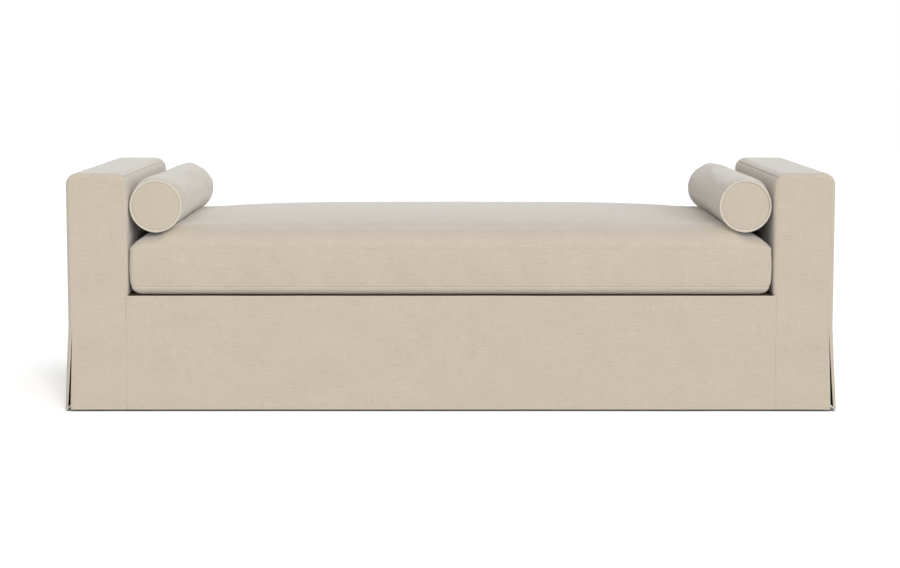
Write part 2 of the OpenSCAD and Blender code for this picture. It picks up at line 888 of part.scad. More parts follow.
// The bolster zip lies in the hollow between the arm and the cushion
module on_bolster_under(side) {
    on_side(side) translate([bolster_x, seat_y, bolster_z])
        rotate([0, 135, 0]) translate([0, 0, body_r + zip_seat_gap])
            rotate([0, 0, 90]) children();
}

module bolster_zip_chain(side) {
    color("tan") on_bolster_under(side) zip_chain(bolster_zip_len);
}

module bolster_zip_slider(side) {
    color("goldenrod") on_bolster_under(side) zip_slider(bolster_zip_len);
}

front_rail();
back_rail();
end_rails();
centre_cross_rail();
cross_rails();
corner_blocks();
sinuous_springs();
spring_clips();
spring_insulator();
deck_pad();
edge_rolls();
rail_pads();
dust_cover();
feet();
foot_glides();
foot_bolts();
foot_nuts();
arm_bolts();
arm_t_nuts();
arm_posts(-1);  // left_arm_posts
arm_posts(1);  // right_arm_posts
arm_top_board(-1);  // left_arm_top_board
arm_top_board(1);  // right_arm_top_board
arm_bottom_rail(-1);  // left_arm_bottom_rail
arm_bottom_rail(1);  // right_arm_bottom_rail
liner_rails();
arm_inner_board(-1);  // left_arm_inner_board
arm_inner_board(1);  // right_arm_inner_board
arm_outer_board(-1);  // left_arm_outer_board
arm_outer_board(1);  // right_arm_outer_board
arm_pad(-1);  // left_arm_pad
arm_pad(1);  // right_arm_pad
arm_end_pads();
arm_outer_cover(-1);  // left_arm_outer_cover
arm_outer_cover(1);  // right_arm_outer_cover
arm_inner_cover(-1);  // left_arm_inner_cover
arm_inner_cover(1);  // right_arm_inner_cover
arm_front_panel(-1);  // left_arm_front_panel
arm_front_panel(1);  // right_arm_front_panel
arm_back_panel(-1);  // left_arm_back_panel
arm_back_panel(1);  // right_arm_back_panel
front_skirt_panel();
back_skirt_panel();
deck_cover();
seat_cover();
seat_wrap();
seat_foam_core();
seat_zip_chain();
seat_zip_slider();
bolster_cover(-1);  // left_bolster_cover
bolster_cover(1);  // right_bolster_cover
bolster_core(-1);  // left_bolster_core
bolster_core(1);  // right_bolster_core
bolster_piping(-1);  // left_bolster_piping
bolster_piping(1);  // right_bolster_piping
bolster_zip_chain(-1);  // left_bolster_zip_chain
bolster_zip_chain(1);  // right_bolster_zip_chain
bolster_zip_slider(-1);  // left_bolster_zip_slider
bolster_zip_slider(1);  // right_bolster_zip_slider
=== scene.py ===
# %% [markdown]
# # Dressing a backless divan in plain linen
#
# The divan was first built as a CAD model: timber, springs, foam, covers. This
# lesson loads that model as a fixed frame and makes its looks: cloth that is cut,
# sewn and stretched, one crowned cushion, two bolsters, and the light of a photo
# studio. Every length is in metres, +X runs along the seat and the front faces -Y.

# %% Load the CAD model as a fixed frame
import json
import math

import bpy
import numpy as np
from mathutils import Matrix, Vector

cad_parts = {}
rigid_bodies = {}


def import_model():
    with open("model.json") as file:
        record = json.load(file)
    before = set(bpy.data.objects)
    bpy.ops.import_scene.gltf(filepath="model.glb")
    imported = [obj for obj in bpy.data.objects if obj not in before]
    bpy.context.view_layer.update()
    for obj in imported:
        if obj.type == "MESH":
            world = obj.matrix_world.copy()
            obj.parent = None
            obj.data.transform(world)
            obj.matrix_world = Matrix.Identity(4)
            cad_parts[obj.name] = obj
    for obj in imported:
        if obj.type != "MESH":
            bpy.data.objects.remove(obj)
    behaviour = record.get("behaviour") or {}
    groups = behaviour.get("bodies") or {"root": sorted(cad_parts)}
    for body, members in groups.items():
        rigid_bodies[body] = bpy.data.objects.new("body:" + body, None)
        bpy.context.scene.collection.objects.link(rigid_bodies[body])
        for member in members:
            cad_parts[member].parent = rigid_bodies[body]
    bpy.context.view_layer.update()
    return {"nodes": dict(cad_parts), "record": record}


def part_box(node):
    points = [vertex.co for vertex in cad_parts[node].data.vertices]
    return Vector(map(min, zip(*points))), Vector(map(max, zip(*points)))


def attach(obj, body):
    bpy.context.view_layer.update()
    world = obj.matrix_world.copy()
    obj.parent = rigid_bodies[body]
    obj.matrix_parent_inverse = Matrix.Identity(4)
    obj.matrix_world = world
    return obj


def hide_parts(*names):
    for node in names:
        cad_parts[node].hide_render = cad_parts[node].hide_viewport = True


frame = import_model()

# %% [markdown]
# ## Sizes that the pieces share
#
# A cover fits only if it takes its size from what it covers. So the seams, the hem
# and the deck are read from the boxes of the CAD nodes, and only what a box can't
# tell, such as a rounding, is written here as a number.

# %% Sizes read from the frame
MM = 0.001
SIDES = ((-1, "left"), (1, "right"))
outer_low, outer_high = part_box("right_arm_outer_cover")
inner_low, inner_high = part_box("right_arm_inner_cover")
panel_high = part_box("right_arm_front_panel")[1]

# The hem of an arm's side stands out this far
FLARE = 13.2 * MM
HALF_WIDTH = outer_high.x - FLARE
HALF_DEPTH = outer_high.y
ARM_TOP = outer_high.z
HEM = outer_low.z + 2 * MM
INNER_X = inner_low.x
SEAM_X = inner_high.x
TUCK_Z = inner_low.z
DECK_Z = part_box("deck_cover")[1].z
ARM_EDGE = 32 * MM
SHOULDER = ARM_TOP - ARM_EDGE
SLIT_TOP = 242 * MM
SLIT_SPREAD = 8 * MM
# The seam between the front panel and the outer cover lies this far in from the side
OUTER_SEAM = 12 * MM
OUTER_SEAM_X = HALF_WIDTH - OUTER_SEAM
PANEL_FLARE = panel_high.x - OUTER_SEAM_X
SKIRT_TOP = DECK_Z - 5 * MM
CLOTH = 2 * MM
DUST_CLOTH = 0.5 * MM
print("arm from", round(INNER_X, 3), "to", round(HALF_WIDTH, 3), "deck at", round(DECK_Z, 3))

# %% [markdown]
# ## Camera
#
# The photograph was taken from in front, from about chest height, with a long lens
# from six and a half metres away. Lines that meet in the picture gave the height
# and the tilt, and the fall of the sizes from front to back gave the distance.

# %% Camera
FOCAL = 87.92  # in millimetres, on a sensor 36 wide
SHIFT = -0.0006
DISTANCE, HEIGHT = 6.5039, 1.0209
TILT = 6.228  # in degrees below level


def add_object(name, data):
    """A new object that holds data, linked into the scene."""
    thing = bpy.data.objects.new(name, data)
    bpy.context.scene.collection.objects.link(thing)
    return thing


lens = bpy.data.cameras.new("camera")
lens.sensor_width = 36
lens.lens = FOCAL
lens.shift_x = SHIFT
camera = add_object("camera", lens)
camera.location = (0, -DISTANCE, HEIGHT)
camera.rotation_euler = (math.radians(90 - TILT), 0, 0)
bpy.context.scene.camera = camera

# %% [markdown]
# ## From a grid to a mesh
#
# Cloth is a grid of threads, so each piece is worked out as a grid of points, and one
# helper turns such grids into a mesh. A grid of point numbers says which points its
# squares use, so that two grids can share a seam. A grid of places on the flat cloth,
# in metres, becomes the UV map that the weave follows.

# %% Helpers for numbers
def share(value, length):
    """value / length, held between 0 and 1."""
    return np.clip(value / length, 0, 1)


def eased(value, length):
    """The same share s with a soft start and end: 3 s^2 - 2 s^3."""
    part = share(value, length)
    return part ** 2 * (3 - 2 * part)


def joined(*parts, axis=0):
    """Arrays one after another."""
    return np.concatenate(parts, axis)


def stacked(*parts):
    """Arrays side by side along a new last axis, each widened to the common shape."""
    return np.stack(np.broadcast_arrays(*parts), axis=-1)


def lengths(x, y):
    """Length along a line of points up to each of them."""
    return joined([0], np.cumsum(np.hypot(np.diff(x), np.diff(y))))


# %% Helpers that build meshes from grids
def numbered(rows, cols, first=0):
    """A grid of point numbers, row by row, from first."""
    return first + np.arange(rows * cols).reshape(rows, cols)


def squares(grid):
    """Corners of every square of a grid, in order: here, right, up and right, up."""
    parts = [grid[:-1, :-1], grid[:-1, 1:], grid[1:, 1:], grid[1:, :-1]]
    return np.stack([p.reshape((-1,) + grid.shape[2:]) for p in parts], axis=1)


def make_piece(name, points, patches):
    """A smooth mesh object from points and patches, each a grid of point numbers and
    a grid of cloth places. A square with two equal corners becomes a triangle."""
    corners = joined(*[squares(ids) for ids, _ in patches])
    places = joined(*[squares(uv) for _, uv in patches])
    keep = corners != np.roll(corners, 1, axis=1)
    sizes = keep.sum(1)
    mesh = bpy.data.meshes.new(name)
    mesh.vertices.add(len(points))
    mesh.vertices.foreach_set("co", np.asarray(points, np.float32).ravel())
    mesh.loops.add(int(sizes.sum()))
    mesh.loops.foreach_set("vertex_index", corners[keep].astype(np.int32))
    mesh.polygons.add(len(sizes))
    mesh.polygons.foreach_set("loop_start", (np.cumsum(sizes) - sizes).astype(np.int32))
    mesh.polygons.foreach_set("use_smooth", np.ones(len(sizes), bool))
    layer = mesh.uv_layers.new(name="cloth")
    layer.data.foreach_set("uv", places[keep].astype(np.float32).ravel())
    mesh.update(calc_edges=True)
    mesh.validate()
    return add_object(name, mesh)


def cloth_piece(name, place, flat, turned):
    """A sheet of cloth from a grid of places and a grid of flat places. turned swaps
    the rows and columns, so that the faces look outwards. Solidify gives the cloth
    its thickness on the inside."""
    if turned:
        place, flat = place.swapaxes(0, 1), flat.swapaxes(0, 1)
    piece = make_piece(name, place.reshape(-1, 3), [(numbered(*place.shape[:2]), flat)])
    wall = piece.modifiers.new("wall", "SOLIDIFY")
    wall.thickness = CLOTH
    wall.offset = -1
    return piece


def stand_for(piece, body, *nodes):
    """Let a piece move with a body, in place of CAD nodes."""
    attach(piece, body)
    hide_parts(*nodes)


def stretch_over(piece, flat, rests_on, *nodes):
    """Let a piece of cloth move with the base, in place of nodes."""
    stand_for(piece, "base", *nodes)


# %% [markdown]
# Real cloth is never quite flat. A few long waves from a seeded generator, added up,
# give an unevenness that is the same in each run. Near a seam the cloth needs close
# points, so that it can roll in neatly.

# %% Unevenness and seams
# Distances from a seam at which the cloth has points
SEAM_STEPS = np.array([0, 0.8, 1.7, 2.8, 4.4, 7, 11]) * MM
SEAM_DIP = 1.0 * MM
SEAM_WIDTH = 1.7 * MM
# A panel reaches this far past its seam, under the next one
LAP = 1.2 * MM
# The allowance inside the arm's top seam is stitched down this far from it
BAND = 9 * MM
# Above the slit the seam takes this far to close
CLOSING = 15 * MM


def waves(u, v, length, seed):
    """Sum of eight sine waves of about that length in random directions, mostly from -1
    to 1."""
    dice = np.random.default_rng(seed)
    total = np.zeros(np.broadcast(u, v).shape)
    for turn, phase, stretch in zip(dice.random(8), dice.random(8), dice.random(8)):
        pitch = 2 * math.pi / (length * (0.6 + 0.9 * stretch))
        along = u * math.cos(math.pi * turn) + v * math.sin(math.pi * turn)
        total += np.sin(pitch * along + 2 * math.pi * phase)
    return total / 5


def dip(distance, depth=SEAM_DIP, width=SEAM_WIDTH):
    """A soft valley, depth * exp(-(distance / width)^2)."""
    return depth * np.exp(-((distance / width) ** 2))


def between(low, high, near, count):
    """Places from low to high: the near distances from both ends, and even steps."""
    near, length = np.asarray(near), high - low
    middle = np.linspace(near[-1], length - near[-1], count + 1)
    return low + joined(near[:-1], middle, (length - near[:-1])[::-1])


# %% [markdown]
# ## Outline of an arm
#
# Seen from the front an arm is a tall box with rounded top edges, and below the slit
# its outer side leans out to the hem. Both covers follow this outline, so it is worked
# out once, as a table from the outer hem over the top to the deck.

# %% Outline of the right arm
TOP_BOW = 0.2 * MM


def opened(z):
    """How far the slit is open at a height: 0 at its top and 1 at the hem."""
    return share(SLIT_TOP - z, SLIT_TOP - HEM)


def arm_outline():
    """Table with rows x, z, outward x, outward z, and length from the hem. The side
    leans out by FLARE * opened^1.05."""
    side_z = np.linspace(HEM, SHOULDER, 500)
    turn = np.radians(np.linspace(0, 90, 121))[1:]
    out_x, in_x = HALF_WIDTH - ARM_EDGE, INNER_X + ARM_EDGE
    top_x = np.linspace(out_x, in_x, 101)[1:]
    x = joined(
        HALF_WIDTH + FLARE * opened(side_z) ** 1.05, out_x + ARM_EDGE * np.cos(turn),
        top_x, in_x - ARM_EDGE * np.sin(turn), np.full(300, INNER_X))
    z = joined(
        side_z, SHOULDER + ARM_EDGE * np.sin(turn),
        ARM_TOP + TOP_BOW * np.sin(math.pi * (top_x - in_x) / (out_x - in_x)),
        SHOULDER + ARM_EDGE * np.cos(turn), np.linspace(SHOULDER, TUCK_Z, 301)[1:])
    run = lengths(x, z)
    step_x, step_z = np.gradient(x, run), np.gradient(z, run)
    size = np.hypot(step_x, step_z)
    return np.stack([x, z, step_z / size, -step_x / size, run])


OUTLINE = arm_outline()
OUTLINE_END = OUTLINE[4, -1]
# Where the outline crosses the seam on the inner top edge
over_top = OUTLINE[4] > OUTLINE[4][np.argmax(OUTLINE[1])]
INNER_SEAM_RUN = float(OUTLINE[4][over_top & (OUTLINE[0] <= SEAM_X)][0])
print("cloth from hem to inner seam:", round(INNER_SEAM_RUN, 3))

# %% [markdown]
# ## Covers of the arms
#
# The outer cover is one piece of linen: up the outside, over the top and down to a
# seam on the inner top edge, and it turns the corner onto the front and the back.
# Carrying the outline straight through the depth would give razor edges. Instead the
# grid goes from the seam across the front, round a quarter circle, and then back.
# Near each seam the cloth dips, as it does where its edge is pulled inside.

# %% How the cloth turns a front edge
FRONT_EDGE = 12 * MM
INNER_EDGE = 10 * MM
# The inner cover's foot lies this far behind its face
TUCK = 6 * MM


def turn_front(length, radius):
    """Path round a front edge. length counts from where the quarter circle ends on
    the side. Gives the distance in from the outline, the distance behind the front,
    and the shares of the direction outwards and frontwards that the cloth faces."""
    angle = np.minimum(length / radius, math.pi / 2)
    beyond = np.maximum(length - radius * math.pi / 2, 0)
    inset = radius * (1 - np.cos(angle)) + beyond
    return inset, radius * (1 - np.sin(angle)), np.cos(angle), np.sin(angle)


def seam_length(x, out_x, edge_x, radius, outer):
    """Length of cloth from the side to its edge on the front, whose x is edge_x.
    outer is 1 for the cover that faces outwards and -1 for the one that faces in."""
    least = radius * (1 - math.cos(math.pi / 4))
    inset = np.maximum((x - edge_x) / np.where(out_x * outer < 0.05, np.inf, out_x), least)
    bent = radius * np.arccos(1 - share(inset, radius))
    return np.where(inset < radius, bent, radius * math.pi / 2 + inset - radius)


def front_to_back(front, middle, back):
    """Columns over the front, through the depth, and over the back the other way."""
    return joined(front, middle + np.zeros((len(front), 1)), back[:, ::-1], axis=1)


# %% A cover carried round the outline
def arm_cover(name, side, outer, runs, edge_x, radius, seams, seed):
    """Right arm's cover between two lengths on the outline, mirrored for side -1.
    edge_x gives the x of its edge on the front for each height. seams holds the
    strength of the dip along the front edges and at the start and end of the runs.
    Rows follow the outline and columns go from the front edge through the depth to
    the back edge. The inner cover slips behind the skirt at its foot."""
    runs = runs[:, None]
    x, z, out_x, out_z = (np.interp(runs, OUTLINE[4], row) for row in OUTLINE[:4])
    edge = seam_length(x, out_x, edge_x(z), radius, outer)
    near = edge - SEAM_STEPS[:5]
    front = joined(near, near[:, -1:] * (1 - np.linspace(0, 1, 8)[1:]), axis=1)
    inset, behind, outward, frontward = turn_front(front, radius)
    straight = radius + 2 * (HALF_DEPTH - radius) * np.linspace(0, 1, 42)[1:-1]
    zero = 0 * straight
    y = front_to_back(behind, straight, 2 * HALF_DEPTH - behind)
    inset = front_to_back(inset, zero, inset)
    outward = front_to_back(outward, zero + 1, outward)
    facing = front_to_back(-frontward, zero, frontward)
    from_edge = front_to_back(edge - front, zero + 1, edge - front)
    sewn = share(z - SLIT_TOP, CLOSING)
    sink = (dip(from_edge, SEAM_DIP * seams[0]) * sewn
            + dip(runs - runs[0], SEAM_DIP * seams[1]) + dip(runs[-1] - runs, SEAM_DIP * seams[2])
            + dip(runs[-1] - runs - BAND, 0.25 * SEAM_DIP * seams[2]))
    if outer < 0:
        sink = sink + TUCK * share(SKIRT_TOP + 2 * MM - z, 8 * MM)
    slack = share(SLIT_TOP + 0.1 - z, 0.3)
    lift = waves(y, runs, 0.22, seed) * (0.15 + 0.7 * slack) * MM - sink
    place = stacked(
        side * (x - out_x * inset + out_x * outward * lift),
        y - HALF_DEPTH + facing * lift, z - out_z * inset + out_z * outward * lift)
    across = y.mean(0) - y[:, 0].mean()
    return cloth_piece(name, place, stacked(across, runs), turned=side < 0)


def strip_edge_x(z):
    """X of the outer cover's edge on the front: the outer seam, and below the slit's
    top a line that spreads by the slit and the flare of the panel."""
    return OUTER_SEAM_X + (PANEL_FLARE + SLIT_SPREAD) * opened(z) ** 1.1


band_steps = joined(SEAM_STEPS[:-1], BAND + np.array([-1, 0, 1, 3]) * MM)
outer_runs = INNER_SEAM_RUN - between(0, INNER_SEAM_RUN, band_steps, 90)[::-1]
inner_runs = between(INNER_SEAM_RUN, OUTLINE_END, SEAM_STEPS, 36)
for side, word in SIDES:
    outer = arm_cover(
        f"{word}_arm_outer_linen", side, 1, outer_runs, strip_edge_x, FRONT_EDGE,
        (0.1, 0, 2.6), 11 + side)
    inner = arm_cover(
        f"{word}_arm_inner_linen", side, -1, inner_runs, lambda z: SEAM_X, INNER_EDGE,
        (0.3, 2.6, 0), 21 + side)
    stretch_over(outer, (0.885, 0.815), [f"{word}_arm_outer_board"],
                 f"{word}_arm_outer_cover", f"{word}_arm_pad", "arm_end_pads")
    stretch_over(inner, (0.88, 0.352), [f"{word}_arm_inner_board"], f"{word}_arm_inner_cover")
    print(word, "covers:", len(outer.data.polygons), "and", len(inner.data.polygons), "squares")

# %% [markdown]
# ## Panels on the ends of the arms
#
# The front of each arm is a panel of its own, from the floor to the top edge, where
# it bends over the padded edge into the seam. A tall grid between the inner and the
# outer seam does it. How far a point lies behind the front follows from its
# distance to the outline, by the same quarter circle as the cover's, so that the
# two meet. Below the slit the outer side is free, and spreads towards the hem.

# %% End panel of an arm
# The free corner at the hem curls forward by this
CURL = 2.5 * MM


def past_edge(x):
    """How far x lies beyond the place where the rounding of a top edge starts."""
    return np.abs(x - (HALF_WIDTH + INNER_X) / 2) - (HALF_WIDTH - INNER_X) / 2 + ARM_EDGE


def inside_distance(x, z):
    """Distance from a point of the arm's front view in to its outline."""
    across, up = past_edge(x), z - SHOULDER
    round_part = np.hypot(np.maximum(across, 0), np.maximum(up, 0))
    return ARM_EDGE - round_part - np.minimum(np.maximum(across, up), 0)


def arm_panel(name, side, end, seed):
    """Panel on the front (end -1) or the back (end 1) of an arm. Columns go from the
    inner to the outer seam, and rows from the hem to the top edge."""
    span = OUTER_SEAM_X - SEAM_X
    across = joined([0], between(0, span, SEAM_STEPS, 18), [span])[None]
    lap = np.zeros(across.shape)
    lap[0, [0, -1]] = LAP
    x = SEAM_X + across
    least = FRONT_EDGE * (1 - math.cos(math.pi / 4))
    reach = ARM_EDGE - least
    top = SHOULDER + np.sqrt(reach ** 2 - np.clip(past_edge(x), 0, reach) ** 2)
    height = between(0, SHOULDER - HEM, SEAM_STEPS, 70)[:, None]
    z = joined(HEM + height / (SHOULDER - HEM) * (top - HEM), top + LAP)
    free = opened(z) ** 1.1
    x = x + across / span * PANEL_FLARE * free
    inset = np.maximum(inside_distance(x, z), least - LAP)
    bend = FRONT_EDGE - np.sqrt(FRONT_EDGE ** 2 - np.maximum(FRONT_EDGE - inset, 0) ** 2)
    sewn = share(z - SLIT_TOP, CLOSING)
    x = x + np.sign(across - span / 2) * lap * (0.1 + 0.9 * np.where(across < span / 2, 1, sewn))
    sink = (dip(across) * (0.3 + 0.4 * share(DECK_Z - z, 10 * MM))
            + dip(span - across, 0.1 * SEAM_DIP) * sewn
            + 0.5 * lap + 0.5 * np.maximum(z - top, 0))
    curl = CURL * free * (across / span) ** 3
    puff = 0.3 * MM * waves(x, z, 0.14, seed)
    place = stacked(side * x, end * (HALF_DEPTH - bend - sink + curl + puff), z)
    return cloth_piece(name, place, stacked(x, z), turned=side * end > 0)


for side, word in SIDES:
    for end, place_word in ((-1, "front"), (1, "back")):
        panel = arm_panel(f"{word}_arm_{place_word}_linen", side, end, 31 + side + 3 * end)
        stretch_over(panel, (0.154, 0.663), [f"{word}_arm_posts"], f"{word}_arm_{place_word}_panel")

# %% [markdown]
# ## Skirt and deck
#
# Between the arms the front is one plain fall of linen. At its top it bends over a
# soft roll, and right behind that a strip of decking cloth is sewn on, which dips and
# runs back under the cushion. The decking's dark brown is painted shade, standing in
# for the shadow in that gap. The cushion's lower edge settles into the dip, and only a
# thin dark line is left to see. The grid follows that path, and ends on both sides in
# the seams that go straight down beside the arms.

# %% Front and back skirt panels
ROLL = 2.5 * MM
RECESS = 4 * MM
RECESS_END = 19 * MM
DECK_SEAM = 24 * MM
LINEN_END = 3.5 * MM


def skirt_panel(name, end, seed):
    """Skirt between the arms at the front (end -1) or back (end 1)."""
    straight = SKIRT_TOP - ROLL - HEM
    bent = straight + ROLL * math.pi / 2
    up = joined(
        between(0, straight, SEAM_STEPS[:5], 40), straight + ROLL * np.radians(np.arange(9, 91, 9)),
        bent + (DECK_SEAM - ROLL) * np.linspace(0.08, 1, 14))[:, None]
    angle = np.clip((up - straight) / ROLL, 0, math.pi / 2)
    behind = ROLL * (1 - np.cos(angle)) + np.maximum(up - bent, 0)
    z = HEM + np.minimum(up, straight) + ROLL * np.sin(angle)
    z = z - RECESS * share(behind - ROLL, 5 * MM)
    z = z + (DECK_Z - SKIRT_TOP + RECESS) * share(behind - RECESS_END, DECK_SEAM - RECESS_END)
    x = between(-SEAM_X, SEAM_X, SEAM_STEPS, 150)[None]
    sink = dip(SEAM_X - np.abs(x), 1.3 * SEAM_DIP) + dip(up[-1] - up)
    slack = np.clip(1.1 - z / DECK_Z, 0, 1)
    puff = waves(x, z, 0.3, seed) * (0.15 + 0.9 * slack) * MM - sink
    place = stacked(
        x, end * (HALF_DEPTH - behind + puff * np.cos(angle)), z + puff * np.sin(angle))
    piece = cloth_piece(name, place, stacked(x, up), turned=end > 0)
    # Faces behind the roll take the dark decking: painted shade for the gap under the cushion
    decking = (behind[:-1] > LINEN_END) & np.ones(x.shape[1] - 1, bool)
    decking = decking.T if end > 0 else decking
    piece.data.polygons.foreach_set("material_index", decking.ravel().astype(np.int32))
    return piece


for end, word, seed in ((-1, "front", 41), (1, "back", 43)):
    panel = skirt_panel(f"{word}_skirt_linen", end, seed)
    stretch_over(panel, (1.81, 0.358), [f"{word}_rail"], f"{word}_skirt_panel")

# %% [markdown]
# Under the top edge of the skirt lies a roll of foam, which keeps the edge of the
# frame from being felt. It is a circle of points carried along the seat, with its
# ends drawn in to a point.

# %% Foam rolls under the skirt's top edge
ROLL_FOAM = 7.5 * MM
ROLL_BELOW = 18 * MM
ROLL_BEHIND = 13 * MM


def closed_round(ids):
    """A grid of point numbers whose last column is its first one again."""
    return joined(ids, ids[:, :1], axis=1)


def twins(name, places, ids, flat):
    """One piece of two patches that are alike, as its CAD node holds both."""
    patches = [(ids + k * places[0][..., 0].size, flat) for k in (0, 1)]
    return make_piece(name, joined(*[place.reshape(-1, 3) for place in places]), patches)


def edge_rolls():
    """Front and back bar along X."""
    radius = ROLL_FOAM * np.array([0, 0.5, 0.85, 1, 1, 0.85, 0.5, 0])[:, None]
    near = np.array([0, 1, 3, 8]) * MM - SEAM_X + 9 * MM
    x = joined(near, -near[::-1])[:, None]
    turn = np.linspace(0, 2 * math.pi, 25)
    ids = numbered(8, 24)
    ids[0], ids[-1] = ids[0, 0], ids[-1, 0]
    places = [stacked(
        x, end * (HALF_DEPTH - ROLL_BEHIND) + radius * np.cos(turn),
        SKIRT_TOP - ROLL_BELOW + radius * np.sin(turn))[:, :-1] for end in (-1, 1)]
    flat = stacked(x, ROLL_FOAM * turn)
    return twins("edge_roll_foam", places, closed_round(ids)[:, ::-1], flat[:, ::-1])


rolls = edge_rolls()
stand_for(rolls, "base", "edge_rolls")

# %% [markdown]
# The deck is decking cloth that the cushion lies on; its dark brown is painted shade
# for the gap under the cushion. It shows only when the cushion is lifted: a flat sheet
# with a slight give between the springs' rows. Below the frame a thin black cloth is
# stapled to the rails and keeps dust out. It sags a little between its staples.

# %% Deck cloth and dust cloth
def deck_sheet():
    """Flat grid between the two deck seams and the arms, a hair lower in the middle."""
    half = HALF_DEPTH - DECK_SEAM
    x = between(-INNER_X, INNER_X, SEAM_STEPS, 110)[None]
    y = between(-half, half, SEAM_STEPS, 50)[:, None]
    sink = dip(half - np.abs(y)) + dip(INNER_X - np.abs(x))
    give = 0.5 * MM * (1 + waves(x, y, 0.25, 47))
    place = stacked(x, y, DECK_Z - sink - np.maximum(give, 0))
    return cloth_piece("deck_cloth", place, place[..., :2], turned=False)


def dust_sheet():
    """Flat grid under the rails, lower by small scallops along its edges."""
    low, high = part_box("dust_cover")
    near = np.array([0, 6, 14]) * MM
    x = between(low.x, high.x, near, 90)[None]
    y = between(low.y, high.y, near, 44)[:, None]
    edge = np.minimum(np.minimum(x - low.x, high.x - x), np.minimum(y - low.y, high.y - y))
    sag = 1.2 * MM * share(edge, 0.03) * (1 + 0.6 * waves(x, y, 0.2, 53))
    scallop = 0.8 * MM * np.sin((x + y) * math.pi / 0.04) ** 2 * np.exp(-edge / 0.02)
    place = stacked(x, y, high.z - sag - scallop)
    piece = cloth_piece("dust_sheet", place, place[..., :2], turned=True)
    piece.modifiers["wall"].thickness = DUST_CLOTH
    return piece


stretch_over(deck_sheet(), (1.8, 0.82), ["deck_pad"], "deck_cover")
stretch_over(dust_sheet(), (2.096, 0.836), ["front_rail", "back_rail", "end_rails"], "dust_cover")

# %% [markdown]
# ## Blowing up a cushion with cloth simulation
#
# A cushion looks stuffed because its filling presses evenly from inside while the
# seams hold. Blender's cloth does just that: a closed mesh, an even pressure, no
# gravity, and the seams pinned. A coarse copy is blown up for twenty frames, and the
# fine mesh takes over its small swells, a few millimetres at most. The broad swelling
# is taken out, because the CAD form already has the measured crown.

# %% Simulate a coarse copy and measure how its points move
FRAMES = 20
PRESSURE = 4
# Spare cloth, as a share, in the cushion and in a bolster
SEAT_SLACK, BOLSTER_SLACK = 0.012, 0.02
# No point moves further than this on a panel or a bolster, and on the boxing
MOST, MOST_RING = 2.5 * MM, 3 * MM


def puffed(points, patches, held, slack):
    """Movement of each point of a closed cloth under pressure. held are the numbers
    of the points that don't move, and slack is the spare cloth as a share."""
    doll = make_piece("puff_trial", points, patches)
    doll.vertex_groups.new(name="held").add([int(i) for i in held], 1.0, "REPLACE")
    cloth = doll.modifiers.new("cloth", "CLOTH")
    for key, value in (
            ("quality", 6), ("mass", 0.25), ("vertex_group_mass", "held"), ("use_pressure", True),
            ("uniform_pressure_force", PRESSURE), ("shrink_min", -slack)):
        setattr(cloth.settings, key, value)
    cloth.settings.effector_weights.gravity = 0
    cloth.point_cache.frame_start = 1
    cloth.point_cache.frame_end = FRAMES
    for number in range(1, FRAMES + 1):
        bpy.context.scene.frame_set(number)
    shown = doll.evaluated_get(bpy.context.evaluated_depsgraph_get()).data
    after = np.zeros(len(points) * 3, np.float32)
    shown.vertices.foreach_get("co", after)
    mesh = doll.data
    bpy.data.objects.remove(doll)
    bpy.data.meshes.remove(mesh)
    bpy.context.scene.frame_set(1)
    return after.reshape(-1, 3) - points


def smoothing(fine, coarse, width, around=None):
    """Weights that carry values from coarse places to fine ones: a bell curve of
    that width, so the result is smooth. around is the length of a closed loop."""
    away = fine[:, None] - coarse[None]
    if around:
        away = (away + around / 2) % around - around / 2
    weight = dip(away, 1, width)
    return weight / weight.sum(1, keepdims=True)


def carried(move, rows, cols):
    """Movement on a coarse grid carried to a fine one by both sets of weights."""
    return np.einsum("ri,ijk,cj->rck", rows, move, cols)


def capped(move, most):
    """Movement with its length bent down smoothly so that it never passes most."""
    size = np.linalg.norm(move, axis=-1, keepdims=True)
    return move * (most * np.tanh(size / most) / np.maximum(size, 1e-9))


# %% [markdown]
# ## Seat cushion
#
# The cushion is the largest thing in the picture. Its top panel rises steeply from
# the upper seam, rounds over, and then climbs gently to the middle. Where the
# bolsters lie it is pressed into a trough. The boxing between the two seams swells a
# little, and below the lower seam the edge tucks under, which leaves the dark gap
# over the skirt. The formula is the same as in the CAD, on a finer grid, and the
# crease where trough and crown meet is rounded off, as foam does.

# %% Sizes of the cushion
seat_low, seat_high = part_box("seat_cover")
ring_low, ring_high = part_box("right_bolster_piping")
body_low, body_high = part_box("right_bolster_cover")
zip_low, zip_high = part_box("seat_zip_chain")
SEAT_BULGE = 2 * MM
SEAT_HX = seat_high.x - SEAT_BULGE
SEAT_HY = (seat_high.y - seat_low.y) / 2 - SEAT_BULGE
SEAT_Y = (seat_high.y + seat_low.y) / 2
SEAT_BOTTOM = seat_low.z
LOW_SEAM = SEAT_BOTTOM + 21 * MM
TOP_SEAM = LOW_SEAM + 104 * MM
EDGE_RISE = 44 * MM
DOME_RISE = seat_high.z - TOP_SEAM - EDGE_RISE - 3 * MM
EDGE_RUN = 45 * MM
SEAT_CORNER = 14 * MM
UNDER_RUN = 17 * MM
UNDER_TURN = 70
UNDER_END_RUN = 24 * MM
END_SHARE = 0.62
END_DRAW = 4 * MM
SETTLE = 2 * MM
RIDGE = 63 * MM
RIDGE_RUN = 90 * MM
CREASE = 5 * MM
PIPING = 3 * MM
BOLSTER_X, BOLSTER_Y, BOLSTER_Z = ((a + b) / 2 for a, b in zip(ring_low, ring_high))
BODY_R = (body_high.z - body_low.z) / 2
RING_R = (ring_high.z - ring_low.z) / 2
RING_Y = (ring_high.y - ring_low.y) / 2 - PIPING
ZIP_Z = (zip_low.z + zip_high.z) / 2
ZIP_END = zip_high.x
print("cushion", round(2 * SEAT_HX, 3), "by", round(2 * SEAT_HY, 3), "ring", round(RING_R, 4))


